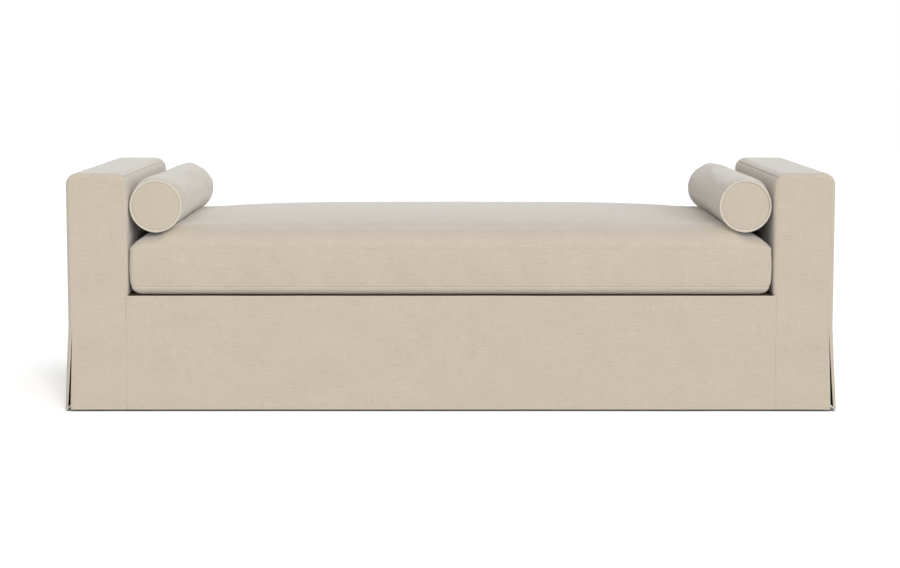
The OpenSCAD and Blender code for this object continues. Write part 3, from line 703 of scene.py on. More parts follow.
# %% Height of the top panel
def rise(distance, run):
    """Quarter of an ellipse: upright at the seam, level one run further in."""
    return np.sqrt(1 - (1 - share(distance, run)) ** 2)


def end_rise(distance):
    """Rounding of the ends, which the bolsters' weight holds down: a share of the full
    height after one edge run, by a curve between a parabola and an ellipse, and the
    rest in a soft step that the bolster hides."""
    first = (1 - (1 - share(distance, EDGE_RUN)) ** 2) ** 0.85
    return END_SHARE * first + (1 - END_SHARE) * eased(distance - 55 * MM, 85 * MM)


def beside_bolster(distance):
    """Share of the ridge at a distance from the end: a soft step up under the bolster
    and a longer one down towards the middle."""
    return eased(distance - 75 * MM, 50 * MM) * (1 - eased(distance - 155 * MM, 150 * MM))


def top_height(x, y):
    """Crown of the cushion, pressed down by the bolsters. The crown is the rounded
    edge plus a dome that falls off with a power of 4.4 along the seat. What a bolster
    presses away swells up beside it, as a ridge of even height. A trough is a round
    groove under each bolster. Where they cross, both are lowered by up to a quarter
    of the crease, which rounds it."""
    x, y = np.abs(x), np.abs(y)
    dome = (1 - (x / SEAT_HX) ** 4.4) * (1 - (y / SEAT_HY) ** 2.2)
    edge = EDGE_RISE * end_rise(SEAT_HX - x) * rise(SEAT_HY - y, EDGE_RUN)
    crown = TOP_SEAM + edge + DOME_RISE * dome
    ridge = TOP_SEAM + RIDGE * rise(SEAT_HY - y, RIDGE_RUN)
    crown = crown + beside_bolster(SEAT_HX - x) * np.maximum(ridge - crown, 0)
    near_ring = 1 / (1 + np.exp(-(y - (RING_Y - 40 * MM)) / (6 * MM)))
    radius = BODY_R + 0.6 * MM + (RING_R - BODY_R + 0.6 * MM) * near_ring
    aside = np.minimum(np.abs(x - BOLSTER_X), radius)
    groove = BOLSTER_Z - np.sqrt(radius ** 2 - aside ** 2)
    close = np.maximum(CREASE - np.abs(crown - groove), 0) / CREASE
    return np.minimum(crown, groove) - close ** 2 * CREASE / 4


# %% Grid of the cushion
FINE_ANGLES = (0, 10, 20, 30, 40, 50, 60, 68, 75, 80, 83, 85.3, 87, 88.2, 89.2, 90)
ROUGH_ANGLES = (0, 25, 50, 72, 90)
# Up to these places along X and Y the wide steps are enough
FLAT_X, FLAT_Y = BOLSTER_X - 0.1, 0.36


def cushion_axis(half, flat_to, flat_step, groove_step, angles):
    """Places along half an axis: wide steps to flat_to, then narrow ones, and at the
    rounded edge steps by angle that crowd towards the seam. Mirrored to both sides."""
    def even(start, stop, step):
        return np.linspace(start, stop, max(2, round((stop - start) / step)), endpoint=False)

    edge = half - EDGE_RUN
    places = joined(
        even(0, flat_to, flat_step), even(flat_to, edge, groove_step),
        half - EDGE_RUN * (1 - np.sin(np.radians(angles))))
    return joined(-places[:0:-1], places)


def corner_rounded(x, y):
    """Places of a square grid with its corners drawn in to a quarter circle, by the
    rule that maps a square onto a disc."""
    a = np.maximum((np.abs(x) - SEAT_HX + SEAT_CORNER) / SEAT_CORNER, 0)
    b = np.maximum((np.abs(y) - SEAT_HY + SEAT_CORNER) / SEAT_CORNER, 0)
    cut_x = SEAT_CORNER * a * (1 - np.sqrt(1 - b * b / 2))
    cut_y = SEAT_CORNER * b * (1 - np.sqrt(1 - a * a / 2))
    return x - np.sign(x) * cut_x, y - np.sign(y) * cut_y


def rim_of(grid):
    """The numbers round the edge of a grid, anticlockwise."""
    return joined(grid[0, :-1], grid[:-1, -1], grid[-1, :0:-1], grid[:0:-1, 0])


def unrolled(places, heights):
    """Length along the cloth, counted from the middle, of places with those heights."""
    length = lengths(places, heights)
    return length - length[len(length) // 2]


def cushion_grid(xs, ys, side_rows):
    """Points, patches, and the numbers and places of the rings. side_rows are pairs
    of how far a ring stands out from the seam line and its height."""
    x, y = np.meshgrid(xs, ys)
    px, py = corner_rounded(x, y)
    top_ids = numbered(len(ys), len(xs))
    rim = rim_of(top_ids)
    rx, ry = px.ravel()[rim], py.ravel()[rim]
    out, ring_z = np.array(side_rows).T[:, :, None]
    wider = np.where(out < 0, UNDER_END_RUN / UNDER_RUN, 1)
    rings = stacked(rx * (SEAT_HX + out * wider) / SEAT_HX, ry * (SEAT_HY + out) / SEAT_HY, ring_z)
    ring_ids = numbered(len(side_rows), len(rim), top_ids.size)
    side_ids = joined(rim[None], ring_ids)
    low_ids = numbered(len(ys), len(xs), top_ids.size + ring_ids.size)
    low_ids.reshape(-1)[rim] = ring_ids[-1]
    inner_x, inner_y = (SEAT_HX - UNDER_END_RUN) / SEAT_HX, (SEAT_HY - UNDER_RUN) / SEAT_HY
    top = stacked(px, py, top_height(x, y))
    bottom = stacked(px * inner_x, py * inner_y, SEAT_BOTTOM)
    points = joined(*[grid.reshape(-1, 3) for grid in (top, rings, bottom)])
    along = lengths(np.append(rx, rx[0]), np.append(ry, ry[0]))
    down = joined([TOP_SEAM], ring_z[:, 0])
    top_flat = unrolled(xs, top_height(xs, 0)), unrolled(ys, top_height(0, ys))
    patches = [
        (top_ids, np.stack(np.meshgrid(*top_flat), axis=-1)),
        (closed_round(side_ids)[::-1], stacked(along, down[:, None])[::-1]),
        (low_ids[:, ::-1], stacked(x, y)[:, ::-1])]
    return points, patches, side_ids, along, down


def side_profile(steps, under_steps):
    """Rings from the upper seam down: a swelled boxing, half a sine high, and under
    the lower seam an ellipse up to a turn that falls short of a quarter."""
    boxing = np.asarray(steps) / (TOP_SEAM - LOW_SEAM)
    angle, last = np.radians(under_steps) * UNDER_TURN / 90, math.radians(UNDER_TURN)
    run = UNDER_RUN * (1 - np.cos(angle)) / (1 - math.cos(last))
    drop = (LOW_SEAM - SEAT_BOTTOM) * np.sin(angle) / math.sin(last)
    return stacked(
        joined(SEAT_BULGE * np.sin(math.pi * boxing), -run),
        joined(TOP_SEAM - boxing * (TOP_SEAM - LOW_SEAM), LOW_SEAM - drop))


# %% [markdown]
# The seams are sewn into the finished form afterwards, because a simulation would
# smooth them away. A seam is a narrow valley that runs round at one height. The
# lower one has a second, fainter line eight millimetres above it, where the
# allowance inside is stitched down. At the back the edges of the boxing are folded
# along the zip.

# %% Seams, folds and soft corners
FOLD = 9.5 * MM
FOLD_REACH = 14 * MM


def by_zip(x, y, z):
    """Share, from 0 to 1, of being on the back boxing beside the zip."""
    at_back = share(y - SEAT_HY + 12 * MM, 6 * MM)
    inside = share(ZIP_END + 22 * MM - np.abs(x), 10 * MM)
    return at_back * inside * share(FOLD_REACH + 5 * MM - np.abs(z - ZIP_Z), 5 * MM)


def finished(points):
    """A copy with its seams drawn in, the folds along the zip, the lower corners at
    both ends drawn in, and the lower front edge let down behind the skirt's top."""
    points = points.copy()
    x, y, z = points.T
    aside = np.sign(x) * np.maximum(np.abs(x) - SEAT_HX + 2 * SEAT_CORNER, 0)
    ahead = np.sign(y) * np.maximum(np.abs(y) - SEAT_HY + 2 * SEAT_CORNER, 0)
    size = np.maximum(np.hypot(aside, ahead), 1e-9)
    above = z - LOW_SEAM - 0.5 * MM * waves(x, y, 0.35, 61)
    into = (dip(above - TOP_SEAM + LOW_SEAM, 0.5 * MM, 1.3 * MM)
            + dip(above + 1.5 * MM, 2.0 * MM, 1.5 * MM) * (1 - 0.8 * (aside / size) ** 2)
            + dip(above - 6.5 * MM, 0.4 * MM, 1.0 * MM))
    x -= aside / size * into
    y -= ahead / size * into
    y += dip(np.abs(z - ZIP_Z) - FOLD, 1.3 * MM, 2.2 * MM) * by_zip(x, y, z)
    at_end = share(np.abs(x) - SEAT_HX + 60 * MM, 60 * MM)
    x -= np.sign(x) * END_DRAW * (at_end * share(LOW_SEAM + 16 * MM - z, 16 * MM)) ** 2
    at_front = share(-y - SEAT_HY + 22 * MM, 4 * MM)
    z -= SETTLE * at_front * share(LOW_SEAM - z, LOW_SEAM - SEAT_BOTTOM)
    return points


# %% Swells of the cushion
def swells(xs, ys, points, side_ids, along, down):
    """Simulated movement of the fine grid's top and of its rings. A coarse cushion is
    blown up, the broad part of its movement is taken out, and the rest is carried
    over. It fades out at the seams, under the bolsters and beside the zip."""
    rough_x = cushion_axis(SEAT_HX, FLAT_X, 0.024, 0.014, ROUGH_ANGLES)
    rough_y = cushion_axis(SEAT_HY, FLAT_Y, 0.024, 0.018, ROUGH_ANGLES)
    rough_steps = np.linspace(0, TOP_SEAM - LOW_SEAM, 9)[1:]
    trial, patches, rough_ids, rough_along, rough_down = cushion_grid(
        rough_x, rough_y, side_profile(rough_steps, [45, 90]))
    top_ids = patches[0][0]
    free = np.zeros(len(trial), bool)
    free[top_ids[1:-1, 1:-1].ravel()] = True
    free[rough_ids[1:8].ravel()] = True
    move = puffed(trial, patches, np.nonzero(~free)[0], SEAT_SLACK)
    print("cloth moved the cushion by up to", round(float(np.abs(move).max()) * 1000, 1), "mm")
    grid = move[top_ids]
    broad = carried(grid, smoothing(rough_y, rough_y, 0.07), smoothing(rough_x, rough_x, 0.09))
    rows, cols = smoothing(ys, rough_y, 0.016), smoothing(xs, rough_x, 0.016)
    top = carried(capped(grid - broad, MOST), rows, cols)
    from_x = share(SEAT_HX - np.abs(xs), 6 * MM)
    from_y = share(SEAT_HY - np.abs(ys), 6 * MM)[:, None]
    clear = share(np.abs(np.abs(xs) - BOLSTER_X) - 0.08, 0.02)
    ring, around = move[rough_ids], rough_along[-1]
    wide = smoothing(rough_along[:-1], rough_along[:-1], 0.12, around)
    ring = capped(ring - np.einsum("rik,ci->rck", ring, wide), MOST_RING)
    side = carried(ring, smoothing(down, rough_down, 0.014), smoothing(
        along[:-1] * around / along[-1], rough_along[:-1], 0.02, around))
    fade = share(np.minimum(TOP_SEAM - down, down - LOW_SEAM), 8 * MM)[:, None]
    calm = 1 - by_zip(*points[side_ids].transpose(2, 0, 1))
    return top * (from_y * from_x * clear)[..., None], side * (fade * calm)[..., None]


# %% The finished cushion
def make_cushion():
    """Fine grid, moved by the simulated swells, with its seams sewn in."""
    xs = cushion_axis(SEAT_HX, FLAT_X, 0.013, 0.005, FINE_ANGLES)
    ys = cushion_axis(SEAT_HY, FLAT_Y, 0.014, 0.006, FINE_ANGLES)
    near = np.array([0.8, 1.6, 2.6, 4.5, 6.5, 8.5, 11]) * MM
    steps, zip_at = between(0, TOP_SEAM - LOW_SEAM, near, 12), TOP_SEAM - ZIP_Z
    by_fold = np.array([-13, -11, -FOLD / MM, -8, -6.5, 6.5, 8, FOLD / MM, 11, 13]) * MM
    far = np.abs(steps - zip_at) > FOLD_REACH
    steps = np.sort(joined(steps[far], zip_at + by_fold))
    under = [0, 3, 6, 10, 18, 30, 42, 54, 66, 78, 90]
    points, patches, *rings = cushion_grid(xs, ys, side_profile(steps, under))
    top, side = swells(xs, ys, points, *rings)
    points[patches[0][0].ravel()] += top.reshape(-1, 3)
    points[rings[0].ravel()] += side.reshape(-1, 3)
    points = finished(points)
    points[:, 1] += SEAT_Y
    return make_piece("seat_cushion_linen", points, patches)


cushion = make_cushion()
stand_for(cushion, "seat_cushion", "seat_cover", "seat_wrap")
print("cushion:", len(cushion.data.polygons), "faces")

# %% [markdown]
# The foam core inside follows the same form, a wrap's thickness smaller all round,
# and its top is cut level, since foam comes in flat slabs.

# %% Foam core of the cushion
def make_core():
    """The coarse cushion drawn in by the wrap at the sides and pressed between the
    level top and bottom of the slab."""
    low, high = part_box("seat_foam_core")
    xs = cushion_axis(SEAT_HX, FLAT_X, 0.05, 0.02, ROUGH_ANGLES)
    ys = cushion_axis(SEAT_HY, FLAT_Y, 0.06, 0.03, ROUGH_ANGLES)
    rows = side_profile(np.linspace(0, 0.102, 6)[1:], [30, 60, 90])
    points, patches, *_ = cushion_grid(xs, ys, rows)
    points = points * [high.x / SEAT_HX, (high.y - low.y) / 2 / SEAT_HY, 1]
    points[:, 1] += SEAT_Y
    points[:, 2] = np.clip(points[:, 2] - 15 * MM, low.z, high.z)
    return make_piece("seat_core_foam", points, patches)


core = make_core()
stand_for(core, "seat_cushion", "seat_foam_core")

# %% [markdown]
# ## Bolsters
#
# A bolster is a tube of linen closed by two round panels, with a cord of piping
# sewn into the join. Its outline is turned round an axis that lies front to back.
# The panel swells a little and dives under the piping, and so does the tube.

# %% A bolster turned round its axis
BODY_HALF = (body_high.y - body_low.y) / 2 - 4 * MM
END_SWELL = 4 * MM
END_CORNER = 5 * MM
SWELL = 10.5 * MM
SWELL_RUN = 90 * MM
ARM_GAP = 0.7 * MM
TUCK_IN = 0.7 * MM
PUCKER = 0.35 * MM
FINE_BOLSTER = (14, 9, 46)
ROUGH_BOLSTER = (6, 3, 20)


def bolster_profile(end_steps, corner_steps, body_steps):
    """Half of the outline, from the middle of an end panel to the middle of the tube:
    radius and distance from the middle. The panel is a low dome, the join a quarter
    circle drawn in under the piping, and the tube swells a little beside it."""
    flat = BODY_R - END_CORNER
    part = np.linspace(0, 1, end_steps, endpoint=False)
    angle = np.radians(np.linspace(0, 90, corner_steps))
    tuck = TUCK_IN * np.sin(2 * angle)
    body = (BODY_HALF - END_CORNER) * (1 - np.linspace(0, 1, body_steps + 1)[1:] ** 1.5)
    along = joined(
        BODY_HALF + END_SWELL * (1 - part ** 2),
        BODY_HALF - END_CORNER * (1 - np.cos(angle)) - tuck, body)
    full = BODY_R + dip(body - BODY_HALF + END_CORNER + 3 * MM, 1.6 * MM, 14 * MM)
    return joined(flat * part, flat + END_CORNER * np.sin(angle) - tuck, full), along


def bolster_grid(steps, turns):
    """Whole bolster round the origin, along Y: rows from the front pole to the back
    one, columns round the axis. Gives the points, their numbers, the cloth places of
    the tube and of the end panels, and the radii, distances and angles."""
    half_radius, half_y = bolster_profile(*steps)
    radius = joined(half_radius, half_radius[-2::-1])[:, None]
    y = joined(-half_y, half_y[-2::-1])
    full = 2 * math.pi * np.arange(turns + 1) / turns
    angle = full[:-1]
    ring = stacked(radius * np.cos(angle), y[:, None], radius * np.sin(angle))
    ids = numbered(len(radius), turns)
    ids[0], ids[-1] = ids[0, 0], ids[-1, 0]
    tube = stacked(y[:, None], BODY_R * full)
    disc = stacked(radius * np.cos(full), radius * np.sin(full))
    return ring, closed_round(ids), tube, disc, radius, y, angle


def bolster_swells(side, seed, y, angle):
    """Simulated movement of the fine grid. The cloth doesn't swell near the piping,
    nor where it lies on the cushion or against the arm."""
    trial, ids, tube, _, _, rough_y, rough_angle = bolster_grid(ROUGH_BOLSTER, 44)
    dice, whole = np.random.default_rng(seed), 2 * math.pi
    start = trial * (1 + 0.004 * dice.standard_normal(trial.shape[:2]))[..., None]
    held = joined(ids[7, :-1], ids[-8, :-1])
    move = puffed(start.reshape(-1, 3), [(ids, tube)], held, BOLSTER_SLACK)
    move = move.reshape(trial.shape)
    wide = smoothing(rough_angle, rough_angle, 0.9, whole)
    move = capped(move - carried(move, smoothing(rough_y, rough_y, 0.12), wide), MOST)
    fine = carried(move, smoothing(y, rough_y, 0.022), smoothing(angle, rough_angle, 0.12, whole))
    calm = share(BODY_HALF - 6 * MM - np.abs(y), 0.03)[:, None]
    clear = share(np.sin(angle) + 0.3, 0.3) * share(0.9 - side * np.cos(angle), 0.15)
    return fine * (calm * clear)[..., None]


def make_bolster(word, side, seed):
    """Turned form, moved by the simulated swells. It is stuffed so full that it
    swells between its ends, except where the cushion holds it from below, and its
    side lies flat on the arm."""
    ring, ids, tube, disc, radius, y, angle = bolster_grid(FINE_BOLSTER, 96)
    ring = ring + bolster_swells(side, seed, y, angle)
    from_end = BODY_HALF - np.abs(y)[:, None]
    away = stacked(np.cos(angle), 0, np.sin(angle))
    inward = share(from_end - END_CORNER, SWELL_RUN)
    swell = SWELL * (1 - (1 - inward) ** 2) ** 0.85 * eased(np.sin(angle) + 0.62, 0.5)
    ring = ring + away * swell[..., None]
    ring[..., 0] = side * np.minimum(side * ring[..., 0], INNER_X - ARM_GAP - BOLSTER_X)
    pucker = PUCKER * waves(BODY_R * angle, y[:, None], 0.03, seed)
    near = dip(from_end - 12 * MM, 1, 16 * MM) * (radius > BODY_R - MM)
    ring = ring + away * (pucker * near)[..., None]
    ring = ring + [side * BOLSTER_X, BOLSTER_Y, BOLSTER_Z]
    cut = FINE_BOLSTER[0] + 4
    patches = [(ids[rows, ::-1], flat[rows, ::-1]) for rows, flat in (
        (slice(cut + 1), disc), (slice(cut, -cut), tube), (slice(-cut - 1, None), disc))]
    return make_piece(f"{word}_bolster_linen", ring.reshape(-1, 3), patches)


def make_piping(word, side):
    """Both rings of piping: a round cord carried round two circles, with a slight
    thickening where its ends overlap below."""
    steps, sections = 144, 16
    turn = np.linspace(0, 2 * math.pi, steps + 1)[:, None]
    around = np.linspace(0, 2 * math.pi, sections + 1)
    radius = PIPING + dip(turn - math.pi * 1.5, 0.5 * MM, 0.12)
    middle = RING_R - PIPING
    out = middle + radius * np.cos(around)
    places = [stacked(
        side * BOLSTER_X + out * np.cos(turn), BOLSTER_Y + end * RING_Y + radius * np.sin(around),
        BOLSTER_Z + out * np.sin(turn))[:-1, :-1] for end in (-1, 1)]
    ids = numbered(steps, sections)
    flat = stacked(middle * turn, PIPING * around)
    return twins(f"{word}_bolster_cord", places, closed_round(joined(ids, ids[:1])), flat)


for side, word in SIDES:
    bolster = make_bolster(word, side, 71 + side)
    piping = make_piping(word, side)
    body = f"{word}_bolster"
    stand_for(bolster, body, f"{body}_cover", f"{body}_core")
    stand_for(piping, body, f"{body}_piping")
    print(word, "bolster:", len(bolster.data.polygons), "faces")

# %% [markdown]
# ## Linen
#
# Linen is woven from flax threads of uneven thickness. Close up it is a grid of
# threads a millimetre apart. From further away only the thick places show, as short
# streaks along both directions, called slubs, and a slight cloudiness. The material
# reads the flat places of the cloth, so the streaks run with the weave over every
# edge. Flax also glows a little at a grazing angle, which is why the tops look
# cooler and paler than the fronts: that is the sheen.

# %% Node helpers
def new_material(name):
    """An empty node material with its tree and its Principled shader."""
    material = bpy.data.materials.new(name)
    material.use_nodes = True
    return material, material.node_tree, material.node_tree.nodes["Principled BSDF"]


def put(tree, socket, value):
    """Set a socket to a value, or link it to a node's first output or to an output."""
    if isinstance(value, bpy.types.Node):
        value = value.outputs[0]
    if isinstance(value, bpy.types.NodeSocket):
        tree.links.new(value, socket)
    else:
        socket.default_value = value


def add_node(tree, kind, settings=None, **inputs):
    """A shader node with its settings and inputs, which are named, or i and a number."""
    node = tree.nodes.new("ShaderNode" + kind)
    for key, value in (settings or {}).items():
        setattr(node, key, value)
    for key, value in inputs.items():
        numbered_key = key[0] == "i" and key[1:].isdigit()
        put(tree, node.inputs[int(key[1:]) if numbered_key else key], value)
    return node


def reckon(tree, operation, *values, clamp=False):
    """A math node on its values."""
    inputs = {f"i{k}": value for k, value in enumerate(values)}
    return add_node(tree, "Math", {"operation": operation, "use_clamp": clamp}, **inputs)


def finish(tree, shader, **inputs):
    """Set inputs of a shader; an underscore in a name stands for a space."""
    for key, value in inputs.items():
        put(tree, shader.inputs[key.replace("_", " ")], value)


def linear(red, green, blue):
    """A colour as it is seen, 0 to 255, turned to the linear values of a shader."""
    seen = np.array([red, green, blue]) / 255
    return tuple(np.where(seen < 0.04045, seen / 12.92, ((seen + 0.055) / 1.055) ** 2.4).tolist())


# %% A plain finish on Object coordinates
def solid_finish(name, colour, scale, contrast, bump, rough, metal=0.0):
    """Colour with noise stretched by scale on Object coordinates, and a bump from it."""
    material, tree, shader = new_material(name)
    where = add_node(tree, "TexCoord").outputs["Object"]
    stretch = add_node(tree, "Mapping", Scale=scale, Vector=where)
    noise = add_node(tree, "TexNoise", Scale=1.0, Detail=4.0, Vector=stretch)
    ramp = add_node(tree, "ValToRGB", i0=noise)
    dark, light = ramp.color_ramp.elements
    dark.position, light.position = 0.3, 0.7
    dark.color = (*[c * (1 - contrast) for c in colour], 1)
    light.color = (*colour, 1)
    relief = add_node(tree, "Bump", Strength=0.5, Distance=bump, Height=noise)
    finish(tree, shader, Base_Color=ramp, Normal=relief, Roughness=rough, Metallic=metal)
    return material


# %% The linen material
THREADS = 330.0
# Scale along the cloth, lowest and highest noise that counts, and strength: thick
# places of weft and warp, thin places, single threads, and cloudiness
STREAKS = (
    ((17.0, 400.0, 1.0), 0.63, 0.72, 0.15), ((400.0, 22.0, 5.0), 0.64, 0.73, 0.14),
    ((24.0, 400.0, 9.0), 0.62, 0.72, -0.16), ((420.0, 32.0, 13.0), 0.65, 0.76, -0.11),
    ((60.0, 700.0, 17.0), 0.35, 0.65, 0.04), ((700.0, 80.0, 21.0), 0.35, 0.65, 0.03),
    ((7.0, 9.0, 1.0), 0.30, 0.70, 0.035))


def streaks(tree, where, scale, low, high):
    """Noise stretched by scale, with only its highest part kept: sparse streaks."""
    stretch = add_node(tree, "Mapping", Scale=scale, Vector=where)
    noise = add_node(tree, "TexNoise", Scale=1.0, Detail=2.0, Roughness=0.5, Vector=stretch)
    return add_node(tree, "MapRange", i0=noise, i1=low, i2=high)


def linen(name, colour, sheen):
    """Woven flax: thread grid, slubs both ways and cloudiness, on the cloth's UV map."""
    material, tree, shader = new_material(name)
    where = add_node(tree, "UVMap", {"uv_map": "cloth"})
    slubs = [streaks(tree, where, scale, low, high) for scale, low, high, _ in STREAKS]
    threads = []
    for direction in ("X", "Y"):
        wave = add_node(
            tree, "TexWave", {"bands_direction": direction},
            Scale=THREADS, Distortion=1.2, Detail=1.0, Vector=where)
        wave.inputs["Detail Scale"].default_value = 0.2
        threads.append(wave.outputs["Fac"])
    weave = reckon(tree, "MULTIPLY", *threads)
    value = 0.94
    for source, weight in zip(slubs + [weave], [row[3] for row in STREAKS] + [0.02]):
        value = reckon(tree, "MULTIPLY_ADD", source, weight, value)
    tint = add_node(tree, "Mix", {"data_type": "RGBA", "blend_type": "MULTIPLY"},
                    i0=1.0, i6=(*colour, 1), i7=value)
    height = reckon(tree, "MULTIPLY_ADD", slubs[0], 0.6, weave)
    height = reckon(tree, "MULTIPLY_ADD", slubs[1], 0.5, height)
    bump = add_node(tree, "Bump", Strength=0.35, Distance=0.0004, Height=height)
    finish(tree, shader, Base_Color=tint.outputs[2], Normal=bump, Roughness=0.9,
           Specular_IOR_Level=0.15, Sheen_Weight=sheen, Sheen_Roughness=0.46)
    return material


# %% [markdown]
# ## Every finish of the divan
#
# The linen pieces get the linen, and the piping a lighter copy of it, which is a
# painted highlight for the light that its round cord catches. The skirts and the covers
# of the arms have the decking cloth as a second one: behind the skirt's top edge, and
# as a lining that shows in the slits. Its dark brown is painted shade for the gap under
# the cushion and the inside of the slits. The frame keeps its CAD shapes and gets plain
# finishes on Object coordinates, because those nodes carry no UV map: planed wood with
# grain along each piece, open foam, fibre, felt, dust cloth, drawn and plated steel.

# %% Table of finishes
# Colour as it is seen, noise scale (None for grain along the piece), contrast, bump
# height, roughness, and 1 for metal
SLOT_LOOKS = {
    "timber": ((205, 170, 125), None, 0.35, 0.0004, 0.65),
    "plywood": ((214, 184, 142), None, 0.22, 0.0002, 0.6),
    "foot_wood": ((98, 68, 45), None, 0.45, 0.0003, 0.45),
    "foam": ((232, 216, 170), 700, 0.14, 0.0008, 0.95),
    "fibre": ((244, 244, 240), 160, 0.07, 0.0015, 0.95),
    "insulator_felt": ((150, 138, 118), 240, 0.35, 0.0008, 0.95),
    "dust_cloth": ((38, 38, 40), 900, 0.4, 0.0002, 0.9),
    "zip_tape": ((198, 186, 166), 900, 0.15, 0.0002, 0.85),
    "zip_metal": ((170, 150, 110), 500, 0.2, 0.0001, 0.35, 1.0),
    "spring_steel": ((120, 122, 126), 300, 0.3, 0.0001, 0.4, 1.0),
    "zinc_steel": ((190, 192, 194), 260, 0.18, 0.0001, 0.35, 1.0),
    "glide_plastic": ((52, 52, 54), 600, 0.12, 0.0001, 0.5),
    "linen": ((201, 189, 170), 900, 0.08, 0.0002, 0.9),
    "linen_piping": ((205, 193, 175), 900, 0.08, 0.0002, 0.9),
}


def slot_finish(name, slot_name, grain=None):
    """A finish with the look of a slot. Wood takes its noise scale from the grain."""
    colour, scale, *rest = SLOT_LOOKS[slot_name]
    return solid_finish(name, linear(*colour), grain or (scale,) * 3, *rest)


# %% Give each piece and node its finish
LINEN = linen("linen", linear(212, 200, 182), 0.86)
# The piping's lighter linen is a painted highlight, for the light its round cord catches
PIPING_HIGHLIGHT_LINEN = linen("piping_linen", linear(228, 219, 204), 0.86)
# Decking cloth, dark brown as painted shade for the gaps and slits
SHADE_DECKING = linen("decking", linear(76, 60, 42), 0.0)
# Look and slot by the last word of a piece's name
LOOKS = {
    "linen": (LINEN, "linen"), "cord": (PIPING_HIGHLIGHT_LINEN, "linen_piping"),
    "cloth": (SHADE_DECKING, "linen"), "foam": (slot_finish("roll_foam", "foam"), "foam"),
    "sheet": (slot_finish("dust_black", "dust_cloth"), "dust_cloth")}
for piece in list(bpy.data.objects):
    name = piece.name
    if piece.type == "MESH" and name not in frame["nodes"]:
        look, slot_name = LOOKS[name.rsplit("_", 1)[-1]]
        piece.data.materials.append(look)
        # Skirts and outer arm pieces also take the dark decking as painted shade: behind the roll,
        # and as the lining seen in the slits
        if "_skirt_" in name or "_arm_" in name and "_inner_" not in name:
            piece.data.materials.append(SHADE_DECKING)
            piece.modifiers["wall"].material_offset = int("_arm_" in name)

finishes = {}
for row in frame["record"]["subparts"]:
    slot_name = row["material_slot"]
    low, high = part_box(row["node"])
    size = [b - a for a, b in zip(low, high)]
    grain = tuple(2.5 if s == max(size) else 90.0 for s in size)
    key = slot_name, grain if SLOT_LOOKS[slot_name][1] is None else None
    if key not in finishes:
        finishes[key] = slot_finish(f"{slot_name}_{len(finishes)}", *key)
    for holder in frame["nodes"][row["node"]].material_slots:
        holder.material = finishes[key]
print(len(finishes), "finishes for", len(frame["nodes"]), "nodes")

# %% [markdown]
# ## Studio
#
# The divan stands on white, with hardly any shadow, light from all round and a
# little more from the right. So the world gives an even light, and a large soft lamp
# adds the rest. The floor is pale for the light that it throws back. Only for the
# camera it is lifted to white. That white glow is dimmed by ambient occlusion into
# painted shade under the skirt and along the hem, and a painted shadow is laid
# beside the left arm.

# %% World and floor
WHITE = (1, 1, 1, 1)
FLOOR = 14.0
# Corner where the painted shadow beside the left arm begins
ARM_SIDE_X = -1.07
ARM_FRONT_Y = -0.43
WORLD_LEVEL = 0.54
WINDOW_LEVEL = 0.62
WINDOW_WIDTH = 60  # in degrees


def bare_tree(holder):
    """The emptied node tree of a world or material, and the share of its rays that
    come from the camera, straight or through a mirror or glass."""
    holder.use_nodes = True
    tree = holder.node_tree
    tree.nodes.clear()
    rays = add_node(tree, "LightPath").outputs
    seen = reckon(tree, "MAXIMUM", rays["Is Camera Ray"], rays["Is Glossy Ray"])
    return tree, reckon(tree, "MAXIMUM", seen, rays["Is Transmission Ray"])


def white_world(strength):
    """Even light of that strength on the object, and plain white for the camera."""
    world = bpy.data.worlds.new("studio")
    tree, seen = bare_tree(world)
    plain = add_node(tree, "Background", Color=WHITE, Strength=1.0)
    light = add_node(tree, "Background", Color=WHITE, Strength=strength)
    mix = add_node(tree, "MixShader", i0=seen, i1=light, i2=plain)
    add_node(tree, "OutputWorld", Surface=mix)
    bpy.context.scene.world = world


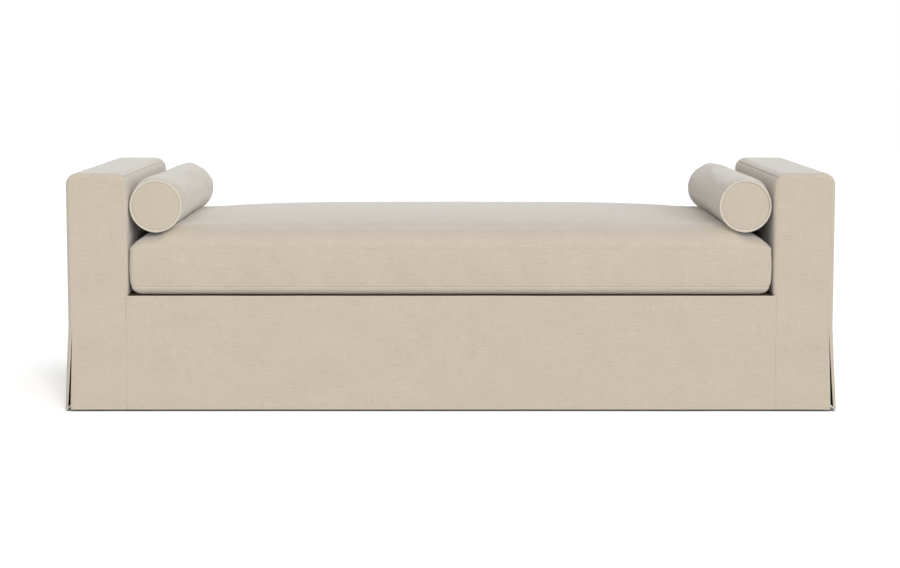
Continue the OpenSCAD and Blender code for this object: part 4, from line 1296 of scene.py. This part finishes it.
def painted_left_shadow(tree):
    """Share of light that a painted shadow left of the left arm takes, set by place on
    the floor: a wedge that opens from the front corner to the back, strongest at the
    arm. share = 0.48 (1 - d / w)^1.3 with d the distance from the arm and w = 0.36
    times the distance from the front, and it fades out behind the back."""
    place = add_node(tree, "TexCoord").outputs["Object"]
    place = add_node(tree, "SeparateXYZ", Vector=place).outputs
    away = reckon(tree, "SUBTRACT", ARM_SIDE_X, place[0])
    behind = reckon(tree, "SUBTRACT", place[1], ARM_FRONT_Y)
    width = reckon(tree, "MAXIMUM", reckon(tree, "MULTIPLY", behind, 0.36), 0.001)
    part = reckon(tree, "SUBTRACT", 1.0, reckon(tree, "DIVIDE", away, width), clamp=True)
    part = reckon(tree, "MULTIPLY", reckon(tree, "POWER", part, 1.3), 0.48)
    fade = add_node(tree, "MapRange", i0=place[1], i1=0.25, i2=0.65, i3=1.0, i4=0.0)
    left = reckon(tree, "GREATER_THAN", away, 0.0)
    return reckon(tree, "MULTIPLY", reckon(tree, "MULTIPLY", part, fade), left)


def studio_floor():
    """A wide floor. The camera sees the lit floor and a white glow, which ambient
    occlusion dims into painted shade under the skirt and along the hem, and a painted
    shadow at the left."""
    corners = [(x * FLOOR, y * FLOOR, 0) for x, y in ((-1, -1), (1, -1), (1, 1), (-1, 1))]
    mesh = bpy.data.meshes.new("floor")
    mesh.from_pydata(corners, [], [(0, 1, 2, 3)])
    floor = add_object("floor", mesh)
    material = bpy.data.materials.new("floor_white")
    tree, seen = bare_tree(material)
    lit = add_node(tree, "BsdfDiffuse", Color=(0.65, 0.65, 0.65, 1))
    pale = add_node(tree, "BsdfDiffuse", Color=WHITE)
    # The glow's strength follows ambient occlusion: painted shade under the skirt and at the hem
    free = add_node(tree, "AmbientOcclusion", {"samples": 16}, Distance=0.3).outputs["AO"]
    level = add_node(tree, "MapRange", i0=free, i1=0.35, i2=0.55, i3=0.0, i4=0.42)
    glow = add_node(tree, "Emission", Color=WHITE, Strength=level)
    both = add_node(tree, "AddShader", i0=pale, i1=glow)
    # The painted shadow mixes this black into what the camera sees
    black = add_node(tree, "Emission", Color=(0, 0, 0, 1), Strength=0.0)
    both = add_node(tree, "MixShader", i0=painted_left_shadow(tree), i1=both, i2=black)
    mix = add_node(tree, "MixShader", i0=seen, i1=lit, i2=both)
    add_node(tree, "OutputMaterial", Surface=mix)
    mesh.materials.append(material)


# %% Lamp
def soft_sun(name, toward, width, level):
    """A distant lamp in the direction toward, as wide as a large studio window. level
    is what it adds to a white surface that faces it, where 1 is white."""
    data = bpy.data.lights.new(name, "SUN")
    data.angle = math.radians(width)
    data.energy = level * math.pi
    lamp = add_object(name, data)
    lamp.rotation_euler = Vector(toward).to_track_quat("Z", "Y").to_euler()


white_world(WORLD_LEVEL)
studio_floor()
soft_sun("window", (0.3, -0.9, 0.21), WINDOW_WIDTH, WINDOW_LEVEL)
bpy.context.scene.view_settings.view_transform = "Standard"
